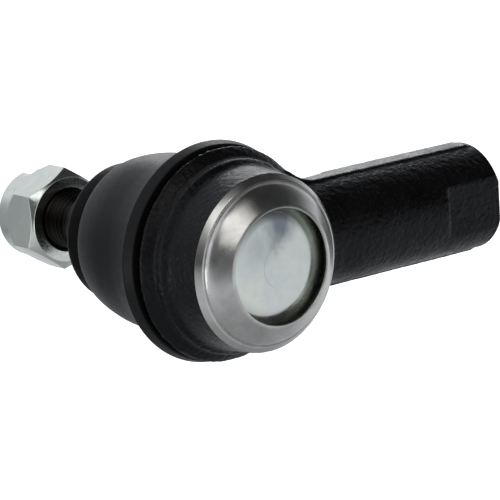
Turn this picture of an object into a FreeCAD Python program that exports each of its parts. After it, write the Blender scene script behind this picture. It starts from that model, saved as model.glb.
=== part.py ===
"""Outer tie rod end with a swaged ball joint, a rubber boot and a lock nut.

Frame (millimetres): the origin is the centre of the ball.  +Y runs along the stud towards the
nut, +X along the threaded shank towards its open end, and +Z completes the right-handed frame.
"""

import FreeCAD
import Part
import math
import os

import Sketcher

FULL_TURN = 360
HEX_SIDES = 6
DRILL_POINT = math.tan(math.radians(31))   # height over radius of a 118 degree drill point
ROUND_SHARE = 1 - math.sqrt(0.5)           # how far a round's middle lies inside its corner

# Driving dimensions, each written once: name, value, meaning.
DRIVING = [
    ("cut_margin", 1, "how far a cut runs past the face that it opens"),
    ("fit_gap", 0.05, "radial gap of a hand fit"),
    ("ball_d", 25, "ball diameter"),
    ("ball_gap", 0.05, "running clearance between ball and its bearings"),
    ("ball_flat_r", 3, "flat turned on the underside of the ball"),
    ("bearing_wall", 1.6, "wall of the bearings at the middle of the ball"),
    ("bearing_split_y", -2.5, "plane where the two bearings face each other"),
    ("bearing_split_gap", 0.1, "gap between the two bearings"),
    ("cup_rise", 1.1, "height of the lower bearing's face above the ball's pole"),
    ("cup_hole_r", 5.7, "hole in the lower bearing"),
    ("seat_cone_inset", 1.85, "radial inset of the bearing seat's cone"),
    ("seat_cone_h", 3.1, "height of the bearing seat's cone"),
    ("mouth_step", 1.6, "distance from the seat to the narrowest mouth"),
    ("mouth_inset", 3.4, "radial inset of the narrowest mouth from the bearing bore"),
    ("mouth_rise", 0.7366, "distance from the ball to the narrowest mouth"),
    ("mouth_flare", 0.8, "widening of the mouth towards the end face"),
    ("mouth_land", 1.0, "distance from the narrowest mouth to the end face"),
    ("nose_wall", 1.1, "wall at the housing's end face, outside the bearing bore"),
    ("head_wall", 3.9, "wall of the head at the machined shoulder"),
    ("drum_draft", 0.7, "radial draft of the drum"),
    ("drum_back_y", -6.2, "end of the drum beside the step"),
    ("step_rise", 1.9, "height of the step above the drum"),
    ("step_front_y", -5.0, "front of the step below the flange"),
    ("flange_front_rise", 2.5, "height of the flange's front corner above the drum"),
    ("flange_rise", 4.0, "height of the trimmed flange above the drum"),
    ("flange_land", 0.4, "thickness of the flange's trimmed edge"),
    ("flange_front_y", -2.7, "front of the trimmed flange"),
    ("flange_back_y", -0.7, "back of the trimmed flange"),
    ("spigot_rise", 1.4, "height of the boot's spigot above the drum"),
    ("spigot_end_y", 3.8, "end of the spigot"),
    ("cover_ledge", 0.75, "radial ledge that the cover plate rests on"),
    ("cover_drop", 0.8, "distance from the lower bearing's face to the cover's seat"),
    ("cover_t", 2.5, "thickness of the cover plate's middle"),
    ("cover_foot_w", 1.75, "width of the cover's foot"),
    ("cover_slope_w", 1.2, "width of the slope inside the cover's foot"),
    ("spring_room", 2.5, "height of the room for the disc spring"),
    ("spring_side_gap", 0.9, "gap round the disc spring"),
    ("spring_hole_gap", 0.7, "how much the spring's hole is larger than the bearing's"),
    ("spring_t", 0.8, "thickness of the disc spring"),
    ("shoulder_drop", 2.4, "distance from the cover's seat to the machined shoulder"),
    ("lip_wall", 1.65, "wall of the swaged lip at its base"),
    ("lip_bend_inset", 0.9, "radial inset where the lip bends inwards"),
    ("lip_bend_drop", 1.3, "distance from the shoulder to the lip's bend"),
    ("lip_overlap", 3.15, "how far the lip reaches over the cover plate"),
    ("rim_w", 0.6, "width of the lip's rim"),
    ("rim_roll", 0.2, "set-back of the rim's outer edge"),
    ("recess_depth", 2.2, "depth of the recess in front of the cover plate"),
    ("neck_r", 6.25, "stud neck radius"),
    ("neck_flare_h", 5.0, "height of the flare between neck and journal"),
    ("journal_r", 7.25, "stud radius under the seal ring and at the taper's large end"),
    ("journal_lead", 2.1, "length of journal inside the seal ring's inner end"),
    ("taper_start_y", 33.9, "large end of the stud taper"),
    ("taper_h", 10.5, "length of the stud taper"),
    ("taper_ratio", 8, "length of the stud taper over its change of diameter"),
    ("relief_inset", 0.77, "depth of the thread relief"),
    ("relief_h", 1.6, "length of the thread relief"),
    ("relief_ramp", 0.35, "length of the ramps at both ends of the relief"),
    ("stud_thread_r", 5.97, "outside radius of the stud's thread"),
    ("stud_thread_h", 15.7, "length of the stud's thread"),
    ("stud_end_chamfer", 1, "chamfer on the stud's free end"),
    ("skirt_ring_t", 1, "radial thickness of the boot's steel ring"),
    ("skirt_ring_start_y", 1.3, "front of the boot's steel ring"),
    ("skirt_ring_inset", 0.1, "distance from the steel ring to the spigot's end"),
    ("skirt_front_wall", 1.7, "rubber outside the steel ring at the skirt's front"),
    ("skirt_back_wall", 2.35, "rubber outside the steel ring at the skirt's back"),
    ("skirt_lip", 0.2, "rubber in front of the steel ring"),
    ("skirt_heel", 0.05, "rubber behind the spigot's end"),
    ("boot_root_rise", 1.3, "boot radius above the spigot where it leaves the skirt"),
    ("boot_root_h", 0.5, "height of the boot's root above the skirt"),
    ("boot_waist_drop", 0.1, "boot radius below the spigot at the waist"),
    ("boot_waist_h", 5.15, "distance from the skirt to the boot's waist"),
    ("boot_side_drop", 1.4, "boot radius below the spigot before the shoulder"),
    ("boot_side_h", 6.5, "distance from the boot's side to its small end"),
    ("boot_shoulder_drop", 1.8, "fall of the boot's radius over the shoulder"),
    ("boot_shoulder_h", 1.4, "distance from the shoulder to the boot's small end"),
    ("boot_wall", 1.9, "wall of the boot"),
    ("boot_bead_gap", 0.1, "radial gap between the boot's small end and the ring's hub"),
    ("boot_lip_gap", 0.15, "gap between the boot's small end and the ring's collar"),
    ("ring_face_gap", 0.2, "distance from the seal ring's face to the taper's large end"),
    ("ring_collar_h", 4.65, "height of the seal ring's collar"),
    ("ring_hub_h", 4.45, "height of the seal ring's hub inside the boot"),
    ("ring_hub_wall", 4.25, "wall of the seal ring's hub"),
    ("ring_barb_rise", 0.8, "height and width of the seal ring's barb"),
    ("ring_barb_gap", 0.4, "gap between the barb and the boot's bead"),
    ("ring_collar_rise", 3.1, "height of the collar above the hub"),
    ("ring_chamfer", 0.4, "chamfers on the seal ring's collar"),
    ("ring_draft", 0.2, "fall of the collar's radius towards its face"),
    ("nut_stand", 6, "distance from the thread relief to the nut's bearing face"),
    ("nut_across_flats", 19, "width of the nut across its flats"),
    ("nut_hex_h", 9.8, "height of the nut's hexagon"),
    ("nut_h", 14, "whole height of the nut"),
    ("nut_face_inset", 0.4, "inset of the nut's round face from its flats"),
    ("nut_mouth_flare", 0.87, "countersink on the nut's bearing face"),
    ("nut_turn_deg", -4.5, "turn of the nut's corners from the vertical"),
    ("thread_gap", 0.06, "radial running gap between the stud and the nut"),
    ("nut_collar_wall", 1.0, "wall of the crimped collar round the insert"),
    ("nut_collar_round", 1.3, "rounding of the collar's outer edge"),
    ("nut_lip_rise", 1.07, "opening of the crimped collar above the thread"),
    ("insert_wall", 1.87, "wall of the locking insert"),
    ("insert_lift", 0.15, "distance from the hexagon's end to the insert"),
    ("insert_cover", 0.7, "crimped metal over the insert"),
    ("shank_r", 11.4, "shank radius"),
    ("shank_end_x", 66.7, "open end of the shank"),
    ("neck_length", 5.25, "distance from the boot's skirt to the full shank"),
    ("neck_inset", 0.15, "how much the neck is thinner than the shank"),
    ("neck_taper_l", 4.0, "length of the taper between neck and shank"),
    ("shank_chamfer", 0.8, "chamfer on the open end of the shank"),
    ("land_half", 2.4, "half width of the trimmed parting land along the shank"),
    ("land_rise", 0.15, "height of the parting land above the shank"),
    ("land_end_gap", 1.6, "distance from the land to the open end of the shank"),
    ("web_round", 9, "radius of the parting web between head and shank"),
    ("boot_relief_gap", 1.1, "gap between the boot skirt and the shank"),
    ("boot_relief_slope", 3.5, "extra gap at the top of the relief"),
    ("flats_cut", 1.4, "depth of each wrench flat"),
    ("flats_length", 14.7, "length of the wrench flats"),
    ("thread_r", 6.19, "minor radius of the shank's M14 x 1.5 thread"),
    ("thread_mouth_flare", 1.11, "countersink at the thread's mouth"),
    ("bore_floor", 3.7, "metal between the flange's edge and the tapping hole's point"),
]


class Size:
    """A length that carries its number and the spreadsheet expression that gives it."""

    def __init__(self, value, text):
        self.value = value
        self.text = text

    def __add__(self, other):
        other = as_size(other)
        return Size(self.value + other.value, f"({self.text} + {other.text})")

    def __sub__(self, other):
        other = as_size(other)
        return Size(self.value - other.value, f"({self.text} - {other.text})")

    def __mul__(self, other):
        other = as_size(other)
        return Size(self.value * other.value, f"({self.text} * {other.text})")

    def __truediv__(self, other):
        other = as_size(other)
        return Size(self.value / other.value, f"({self.text} / {other.text})")

    def __neg__(self):
        return Size(-self.value, f"(0 - {self.text})")


def as_size(number):
    """A plain number as a Size; a Size stays as it is."""
    if isinstance(number, Size):
        return number
    return Size(number, repr(number))


def square_root(size):
    """The square root of a Size, as a Size."""
    return Size(math.sqrt(size.value), f"sqrt({size.text})")


class Sizes:
    """The driving dimensions and what follows from them, as Size values."""

    def __init__(self, sheet):
        for name, value, _ in DRIVING:
            setattr(self, name, Size(float(value), f"{sheet.Name}.{name}"))
        self.derive_cavity()
        self.derive_head()
        self.derive_cover()
        self.derive_ring()
        self.derive_boot()
        self.derive_stud_and_nut()
        self.derive_shank()

    def derive_cavity(self):
        """The cavity and the bearings follow the ball."""
        ball_r = self.ball_d / 2
        self.bearing_bore_r = ball_r + self.bearing_wall
        self.mouth_r = self.bearing_bore_r - self.mouth_inset
        self.mouth_end_r = self.mouth_r + self.mouth_flare
        self.mouth_y = square_root(ball_r * ball_r - self.mouth_r * self.mouth_r) + self.mouth_rise
        self.seat_top_r = self.bearing_bore_r - self.seat_cone_inset
        self.seat_top_y = self.mouth_y - self.mouth_step
        self.seat_cone_y = self.seat_top_y - self.seat_cone_h
        self.housing_end_y = self.mouth_y + self.mouth_land
        self.cup_face_y = self.cup_rise - ball_r

    def derive_head(self):
        """The outside of the head follows the bearing bore."""
        self.drum_r = self.bearing_bore_r + self.head_wall
        self.drum_back_r = self.drum_r + self.drum_draft
        self.step_r = self.drum_r + self.step_rise
        self.flange_front_r = self.drum_r + self.flange_front_rise
        self.flange_r = self.drum_r + self.flange_rise
        self.spigot_r = self.drum_r + self.spigot_rise
        self.nose_r = self.bearing_bore_r + self.nose_wall

    def derive_cover(self):
        """The cover, the spring and the swaged lip follow the lower bearing."""
        self.cover_seat_y = self.cup_face_y - self.cover_drop
        self.cover_inner_y = self.cup_face_y - self.spring_room
        self.cover_face_y = self.cover_inner_y - self.cover_t
        self.cover_r = self.bearing_bore_r + self.cover_ledge
        self.cover_foot_r = self.cover_r - self.cover_foot_w
        self.cover_inner_r = self.cover_foot_r - self.cover_slope_w
        self.spring_outer_r = self.cover_inner_r - self.spring_side_gap
        self.spring_inner_r = self.cup_hole_r + self.spring_hole_gap
        self.shoulder_y = self.cover_seat_y - self.shoulder_drop
        self.lip_base_r = self.cover_r + self.lip_wall
        self.lip_bend_r = self.lip_base_r - self.lip_bend_inset
        self.lip_bend_y = self.shoulder_y - self.lip_bend_drop
        self.rim_r = self.cover_r - self.lip_overlap
        self.rim_outer_r = self.rim_r + self.rim_w
        self.rim_y = self.cover_face_y - self.recess_depth

    def derive_ring(self):
        """The seal ring follows the stud's journal and taper."""
        self.ring_end_y = self.taper_start_y - self.ring_face_gap
        self.ring_collar_y = self.ring_end_y - self.ring_collar_h
        self.ring_hub_start_y = self.ring_collar_y - self.ring_hub_h
        self.ring_barb_y = self.ring_hub_start_y + self.ring_barb_rise
        self.ring_hub_r = self.journal_r + self.ring_hub_wall
        self.ring_barb_r = self.ring_hub_r + self.ring_barb_rise
        self.ring_collar_r = self.ring_hub_r + self.ring_collar_rise

    def derive_boot(self):
        """The boot follows the spigot at one end and the seal ring at the other."""
        ring_r = self.spigot_r + self.skirt_ring_t
        self.skirt_ring_end_y = self.spigot_end_y - self.skirt_ring_inset
        self.skirt_front_y = self.skirt_ring_start_y - self.skirt_lip
        self.skirt_back_y = self.spigot_end_y + self.skirt_heel
        self.skirt_front_r = ring_r + self.skirt_front_wall
        self.skirt_back_r = ring_r + self.skirt_back_wall
        self.boot_root_r = self.spigot_r + self.boot_root_rise
        self.boot_waist_r = self.spigot_r - self.boot_waist_drop
        self.boot_waist_y = self.skirt_back_y + self.boot_waist_h
        self.boot_side_r = self.spigot_r - self.boot_side_drop
        self.boot_shoulder_r = self.boot_side_r - self.boot_shoulder_drop
        self.boot_lip_y = self.ring_collar_y - self.boot_lip_gap
        self.boot_side_y = self.boot_lip_y - self.boot_side_h
        self.boot_shoulder_y = self.boot_lip_y - self.boot_shoulder_h
        self.boot_bead_r = self.ring_hub_r + self.boot_bead_gap
        self.boot_bead_y = self.ring_barb_y + self.ring_barb_gap

    def derive_stud_and_nut(self):
        """The stud's lengths follow the seal ring, and the nut follows the stud's thread."""
        self.journal_start_y = self.ring_hub_start_y - self.journal_lead
        self.neck_end_y = self.journal_start_y - self.neck_flare_h
        self.taper_end_y = self.taper_start_y + self.taper_h
        self.taper_end_r = self.journal_r - self.taper_h / self.taper_ratio / 2
        self.relief_end_y = self.taper_end_y + self.relief_h
        self.stud_end_y = self.relief_end_y + self.stud_thread_h
        self.relief_r = self.stud_thread_r - self.relief_inset
        self.nut_face_y = self.relief_end_y + self.nut_stand
        self.nut_face_r = self.nut_across_flats / 2 - self.nut_face_inset
        self.nut_thread_r = self.stud_thread_r + self.thread_gap
        self.nut_mouth_r = self.nut_thread_r + self.nut_mouth_flare
        self.nut_lip_r = self.nut_thread_r + self.nut_lip_rise
        self.insert_r = self.nut_thread_r + self.insert_wall
        self.nut_collar_r = self.insert_r + self.nut_collar_wall
        self.insert_start_y = self.nut_face_y + self.nut_hex_h + self.insert_lift
        self.insert_end_y = self.nut_face_y + self.nut_h - self.insert_cover

    def derive_shank(self):
        """The shank starts clear of the boot, and its bore stops short of the head."""
        self.shank_start_x = self.skirt_back_r + self.neck_length
        self.neck_half = self.shank_r - self.neck_inset
        self.flats_start_x = self.shank_end_x - self.flats_length
        self.thread_mouth_r = self.thread_r + self.thread_mouth_flare
        self.bore_bottom_x = self.flange_r + self.bore_floor


def make_sheet(doc):
    """The spreadsheet with every driving dimension: a number, its meaning and its alias."""
    sheet = doc.addObject("Spreadsheet::Sheet", "Dimensions")
    for row, (name, value, meaning) in enumerate(DRIVING, start=1):
        sheet.set(f"A{row}", str(value))
        sheet.set(f"B{row}", meaning)
        sheet.setAlias(f"A{row}", name)
    doc.recompute()
    return sheet


def origin_plane(body, role):
    """One of the body's own origin planes, found by its role."""
    for feature in body.Origin.OriginFeatures:
        if feature.Role == role:
            return feature
    raise ValueError(f"{body.Name} has no {role}")


def make_body(doc, label):
    body = doc.addObject("PartDesign::Body", label)
    body.Label = label
    return body


def make_sketch(body, name, role):
    sketch = body.newObject("Sketcher::SketchObject", name)
    sketch.AttachmentSupport = [(origin_plane(body, role), "")]
    sketch.MapMode = "FlatFace"
    return sketch


def bind(sketch, constraint, size):
    """Add a constraint to the sketch and drive it from the spreadsheet."""
    index = sketch.addConstraint(constraint)
    sketch.setExpression(f"Constraints[{index}]", size.text)


def place_coordinate(sketch, edge, end, across, size):
    """Hold one coordinate of an edge's end, signed by the order of the two points."""
    kind = "DistanceX" if across else "DistanceY"
    if size.value < 0:
        constraint = Sketcher.Constraint(kind, edge, end, -1, 1, -size.value)
        bind(sketch, constraint, -size)
    elif size.value > 0:
        constraint = Sketcher.Constraint(kind, -1, 1, edge, end, size.value)
        bind(sketch, constraint, size)
    else:
        axis = -2 if across else -1
        sketch.addConstraint(Sketcher.Constraint("PointOnObject", edge, end, axis))


def draw_outline(sketch, points):
    """Close straight edges through points, each a pair of Size values."""
    corners = [(as_size(x), as_size(y)) for x, y in points]
    vectors = [FreeCAD.Vector(x.value, y.value, 0) for x, y in corners]
    count = len(vectors)
    for i in range(count):
        sketch.addGeometry(Part.LineSegment(vectors[i], vectors[(i + 1) % count]), False)
    for i in range(count):
        sketch.addConstraint(Sketcher.Constraint("Coincident", i, 2, (i + 1) % count, 1))
    for i, (x, y) in enumerate(corners):
        place_coordinate(sketch, i, 1, True, x)
        place_coordinate(sketch, i, 1, False, y)


def turned(body, name, points, cut=False):
    """Revolve an outline of (radius, height) points about the Y axis, or cut it away."""
    sketch = make_sketch(body, f"{name}_outline", "XY_Plane")
    draw_outline(sketch, points)
    kind = "PartDesign::Groove" if cut else "PartDesign::Revolution"
    feature = body.newObject(kind, name)
    feature.Profile = sketch
    feature.ReferenceAxis = (sketch, ["V_Axis"])
    feature.Angle = FULL_TURN
    return feature


def ball_cut(body, name, radius, low, high):
    """Cut a barrel of the ball's sphere, between two heights, out of a turned piece."""
    sketch = make_sketch(body, f"{name}_outline", "XY_Plane")
    low_x = math.sqrt(radius.value ** 2 - low.value ** 2)
    high_x = math.sqrt(radius.value ** 2 - high.value ** 2)
    bottom = FreeCAD.Vector(0, low.value, 0)
    top = FreeCAD.Vector(0, high.value, 0)
    circle = Part.Circle(FreeCAD.Vector(0, 0, 0), FreeCAD.Vector(0, 0, 1), radius.value)
    start = math.atan2(low.value, low_x)
    end = math.atan2(high.value, high_x)
    sketch.addGeometry(Part.LineSegment(bottom, FreeCAD.Vector(low_x, low.value, 0)), False)
    sketch.addGeometry(Part.ArcOfCircle(circle, start, end), False)
    sketch.addGeometry(Part.LineSegment(FreeCAD.Vector(high_x, high.value, 0), top), False)
    sketch.addGeometry(Part.LineSegment(top, bottom), False)
    sketch.addConstraint(Sketcher.Constraint("Coincident", 0, 2, 1, 1))
    sketch.addConstraint(Sketcher.Constraint("Coincident", 1, 2, 2, 1))
    sketch.addConstraint(Sketcher.Constraint("Coincident", 2, 2, 3, 1))
    sketch.addConstraint(Sketcher.Constraint("Coincident", 3, 2, 0, 1))
    sketch.addConstraint(Sketcher.Constraint("Coincident", 1, 3, -1, 1))
    sketch.addConstraint(Sketcher.Constraint("Horizontal", 0))
    sketch.addConstraint(Sketcher.Constraint("Horizontal", 2))
    sketch.addConstraint(Sketcher.Constraint("PointOnObject", 0, 1, -2))
    sketch.addConstraint(Sketcher.Constraint("PointOnObject", 3, 1, -2))
    bind(sketch, Sketcher.Constraint("Radius", 1, radius.value), radius)
    place_coordinate(sketch, 0, 1, False, low)
    place_coordinate(sketch, 3, 1, False, high)
    groove = body.newObject("PartDesign::Groove", name)
    groove.Profile = sketch
    groove.ReferenceAxis = (sketch, ["V_Axis"])
    groove.Angle = FULL_TURN
    return groove


def make_housing(doc, d):
    """The forged head and shank, bored for the bearings and threaded for the tie rod."""
    body = make_body(doc, "housing")
    add_shank(body, d)
    clear_boot(body, d)
    add_parting_web(body, d)
    add_head(body, d)
    bore_head(body, d)
    bore_shank(body, d)
    cut_flats(body, d)
    return body


def add_shank(body, d):
    """Neck and shank as one turned bar about the X axis."""
    sketch = make_sketch(body, "shank_outline", "XY_Plane")
    taper_x = d.shank_start_x - d.neck_taper_l
    draw_outline(sketch, [
        (0, 0),
        (0, d.neck_half),
        (taper_x, d.neck_half),
        (d.shank_start_x, d.shank_r),
        (d.shank_end_x - d.shank_chamfer, d.shank_r),
        (d.shank_end_x, d.shank_r - d.shank_chamfer),
        (d.shank_end_x, 0),
    ])
    shank = body.newObject("PartDesign::Revolution", "shank")
    shank.Profile = sketch
    shank.ReferenceAxis = (sketch, ["H_Axis"])
    shank.Angle = FULL_TURN


def clear_boot(body, d):
    """Clear the bar away behind the flange, with room for the boot's skirt."""
    wall_r = d.skirt_back_r + d.boot_relief_gap
    top_y = d.shank_r + d.cut_margin
    turned(body, "boot_relief", [
        (0, d.flange_back_y),
        (wall_r, d.flange_back_y),
        (wall_r + d.boot_relief_slope, top_y),
        (0, top_y),
    ], cut=True)


def shift_sketch(sketch, size):
    """Move an attached sketch along its own normal."""
    sketch.AttachmentOffset = FreeCAD.Placement(FreeCAD.Vector(0, 0, size.value), FreeCAD.Rotation())
    sketch.setExpression(".AttachmentOffset.Base.z", size.text)


def padded(body, name, sketch, length):
    """Extrude a sketch along its normal."""
    pad = body.newObject("PartDesign::Pad", name)
    pad.Profile = sketch
    pad.Length = length.value
    pad.setExpression("Length", length.text)
    return pad


def add_parting_web(body, d):
    """The trimmed parting land: a web from the flange to the shank, then a strip along it."""
    half = d.shank_r + d.land_rise
    end_x = d.shank_end_x - d.land_end_gap
    web = make_sketch(body, "web_outline", "XZ_Plane")
    draw_web(web, d, half, end_x)
    shift_sketch(web, -d.flange_back_y)
    padded(body, "web", web, d.flange_back_y - d.flange_front_y)
    mirror_web(body, "web")
    strip = make_sketch(body, "strip_outline", "YZ_Plane")
    draw_outline(strip, [
        (-d.land_half, -half),
        (d.land_half, -half),
        (d.land_half, half),
        (-d.land_half, half),
    ])
    shift_sketch(strip, d.shank_start_x)
    padded(body, "strip", strip, end_x - d.shank_start_x)


def draw_web(sketch, d, half, end_x):
    """Upper half of the web: an arc that leaves the flange's circle and meets the shank."""
    round_r = d.web_round.value
    height = half.value + round_r
    centre_x = math.sqrt((d.flange_r.value + round_r) ** 2 - height ** 2)
    share = d.flange_r.value / (d.flange_r.value + round_r)
    centre = FreeCAD.Vector(centre_x, height, 0)
    touch = centre * share
    foot = FreeCAD.Vector(centre_x, half.value, 0)
    far_top = FreeCAD.Vector(end_x.value, half.value, 0)
    far_low = FreeCAD.Vector(end_x.value, 0, 0)
    middle = FreeCAD.Vector(0, 0, 0)
    circle = Part.Circle(centre, FreeCAD.Vector(0, 0, 1), round_r)
    start = math.atan2(-centre.y, -centre.x)
    sketch.addGeometry(Part.ArcOfCircle(circle, start, -math.pi / 2), False)
    sketch.addGeometry(Part.LineSegment(foot, far_top), False)
    sketch.addGeometry(Part.LineSegment(far_top, far_low), False)
    sketch.addGeometry(Part.LineSegment(far_low, middle), False)
    sketch.addGeometry(Part.LineSegment(middle, touch), False)
    sketch.addConstraint(Sketcher.Constraint("Tangent", 0, 2, 1, 1))
    sketch.addConstraint(Sketcher.Constraint("Coincident", 1, 2, 2, 1))
    sketch.addConstraint(Sketcher.Constraint("Coincident", 2, 2, 3, 1))
    sketch.addConstraint(Sketcher.Constraint("Coincident", 3, 2, 4, 1))
    sketch.addConstraint(Sketcher.Constraint("Coincident", 4, 2, 0, 1))
    sketch.addConstraint(Sketcher.Constraint("Coincident", 4, 1, -1, 1))
    sketch.addConstraint(Sketcher.Constraint("Horizontal", 1))
    sketch.addConstraint(Sketcher.Constraint("Vertical", 2))
    sketch.addConstraint(Sketcher.Constraint("Horizontal", 3))
    sketch.addConstraint(Sketcher.Constraint("PointOnObject", 0, 3, 4))
    bind(sketch, Sketcher.Constraint("Distance", 4, d.flange_r.value), d.flange_r)
    bind(sketch, Sketcher.Constraint("Radius", 0, round_r), d.web_round)
    place_coordinate(sketch, 1, 2, False, half)
    place_coordinate(sketch, 1, 2, True, end_x)


def mirror_web(body, name):
    """Repeat the last feature below the plane through the stud and the shank."""
    mirrored = body.newObject("PartDesign::Mirrored", f"{name}_mirrored")
    mirrored.Originals = [body.Document.getObject(name)]
    mirrored.MirrorPlane = (origin_plane(body, "XY_Plane"), [""])
    body.Tip = mirrored


def add_head(body, d):
    """The turned outside of the head: lip, shoulder, drum, step, flange, groove and spigot."""
    turned(body, "head", [
        (0, d.rim_y),
        (d.rim_outer_r - d.rim_roll, d.rim_y),
        (d.rim_outer_r, d.rim_y + d.rim_roll),
        (d.lip_bend_r, d.lip_bend_y),
        (d.lip_base_r, d.shoulder_y),
        (d.drum_r, d.shoulder_y),
        (d.drum_back_r, d.drum_back_y),
        (d.step_r, d.step_front_y),
        (d.step_r, d.flange_front_y),
        (d.flange_front_r, d.flange_front_y),
        (d.flange_r, d.flange_back_y - d.flange_land),
        (d.flange_r, d.flange_back_y),
        (d.spigot_r, d.flange_back_y),
        (d.spigot_r, d.spigot_end_y),
        (d.nose_r, d.housing_end_y),
        (0, d.housing_end_y),
    ])


def bore_head(body, d):
    """The cavity: swaged opening, cover seat, bearing bore and flared mouth."""
    margin_gap = d.fit_gap / 2
    turned(body, "cavity", [
        (0, d.rim_y - d.cut_margin),
        (d.rim_r, d.rim_y - d.cut_margin),
        (d.rim_r, d.cover_face_y - margin_gap),
        (d.cover_r + d.fit_gap, d.cover_inner_y - margin_gap),
        (d.cover_r + d.fit_gap, d.cover_seat_y),
        (d.bearing_bore_r, d.cover_seat_y),
        (d.bearing_bore_r, d.seat_cone_y),
        (d.seat_top_r, d.seat_top_y + d.fit_gap),
        (d.mouth_r, d.mouth_y),
        (d.mouth_end_r, d.housing_end_y + d.fit_gap),
        (0, d.housing_end_y + d.fit_gap),
    ], cut=True)


def bore_shank(body, d):
    """The threaded bore, at its minor radius, with a drill point and a countersunk mouth."""
    sketch = make_sketch(body, "shank_bore_outline", "XY_Plane")
    bottom_x = d.bore_bottom_x
    draw_outline(sketch, [
        (bottom_x, 0),
        (bottom_x + d.thread_r * DRILL_POINT, d.thread_r),
        (d.shank_end_x - d.thread_mouth_flare, d.thread_r),
        (d.shank_end_x, d.thread_mouth_r),
        (d.shank_end_x + d.cut_margin, d.thread_mouth_r),
        (d.shank_end_x + d.cut_margin, 0),
    ])
    bore = body.newObject("PartDesign::Groove", "shank_bore")
    bore.Profile = sketch
    bore.ReferenceAxis = (sketch, ["H_Axis"])
    bore.Angle = FULL_TURN


def cut_flats(body, d):
    """Two wrench flats across the stud direction, open at the shank's end."""
    for name, side in (("front", -1), ("back", 1)):
        sketch = make_sketch(body, f"flat_{name}_outline", "YZ_Plane")
        near = (d.shank_r - d.flats_cut) * side
        far = (d.shank_r + d.cut_margin) * side
        half = d.shank_r + d.cut_margin
        draw_outline(sketch, [(near, -half), (far, -half), (far, half), (near, half)])
        shift_sketch(sketch, d.flats_start_x)
        pocket = body.newObject("PartDesign::Pocket", f"flat_{name}")
        pocket.Profile = sketch
        depth = d.flats_length + d.cut_margin
        pocket.Length = depth.value
        pocket.setExpression("Length", depth.text)
        pocket.Reversed = True


def make_cover(doc, d):
    """The pressed cover plate that the lip holds down: raised middle, bent margin, foot."""
    body = make_body(doc, "cover_plate")
    turned(body, "plate", [
        (0, d.cover_face_y),
        (d.rim_r, d.cover_face_y),
        (d.cover_r, d.cover_inner_y),
        (d.cover_r, d.cover_seat_y),
        (d.cover_foot_r, d.cover_seat_y),
        (d.cover_inner_r, d.cover_inner_y),
        (0, d.cover_inner_y),
    ])
    return body


def make_spring(doc, d):
    """The disc spring between the cover and the lower bearing."""
    body = make_body(doc, "preload_spring")
    turned(body, "disc", [
        (d.spring_outer_r, d.cover_inner_y),
        (d.spring_outer_r, d.cover_inner_y + d.spring_t),
        (d.spring_inner_r, d.cup_face_y),
        (d.spring_inner_r, d.cup_face_y - d.spring_t),
    ])
    return body


def make_lower_bearing(doc, d):
    """The sprung bearing under the ball, pressed up by the disc spring."""
    body = make_body(doc, "lower_bearing")
    outer_r = d.bearing_bore_r - d.fit_gap
    turned(body, "cup", [
        (d.cup_hole_r, d.cup_face_y),
        (outer_r, d.cup_face_y),
        (outer_r, d.bearing_split_y),
        (d.cup_hole_r, d.bearing_split_y),
    ])
    low, high = d.cup_face_y - d.fit_gap, d.bearing_split_y + d.cut_margin
    ball_cut(body, "cup_sphere", d.ball_d / 2 + d.ball_gap, low, high)
    return body


def make_upper_bearing(doc, d):
    """The bearing seat between the ball and the housing's cone, on the stud's side."""
    body = make_body(doc, "upper_bearing")
    outer_r = d.bearing_bore_r - d.fit_gap
    start_y = d.bearing_split_y + d.bearing_split_gap
    turned(body, "seat", [
        (d.mouth_r, start_y),
        (outer_r, start_y),
        (outer_r, d.seat_cone_y),
        (d.seat_top_r - d.fit_gap, d.seat_top_y),
        (d.mouth_r, d.seat_top_y),
    ])
    low, high = start_y - d.cut_margin, d.seat_top_y + d.cut_margin
    ball_cut(body, "seat_sphere", d.ball_d / 2 + d.ball_gap, low, high)
    return body


def make_stud(doc, d):
    """The ball stud: ball, neck, journal for the seal ring, taper, relief and thread."""
    body = make_body(doc, "ball_stud")
    turned(body, "shaft", [
        (0, 0),
        (d.neck_r, 0),
        (d.neck_r, d.neck_end_y),
        (d.journal_r, d.journal_start_y),
        (d.journal_r, d.taper_start_y),
        (d.taper_end_r, d.taper_end_y),
        (d.relief_r, d.taper_end_y + d.relief_ramp),
        (d.relief_r, d.relief_end_y - d.relief_ramp),
        (d.stud_thread_r, d.relief_end_y),
        (d.stud_thread_r, d.stud_end_y - d.stud_end_chamfer),
        (d.stud_thread_r - d.stud_end_chamfer, d.stud_end_y),
        (0, d.stud_end_y),
    ])
    add_ball(body, d)
    return body


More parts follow.
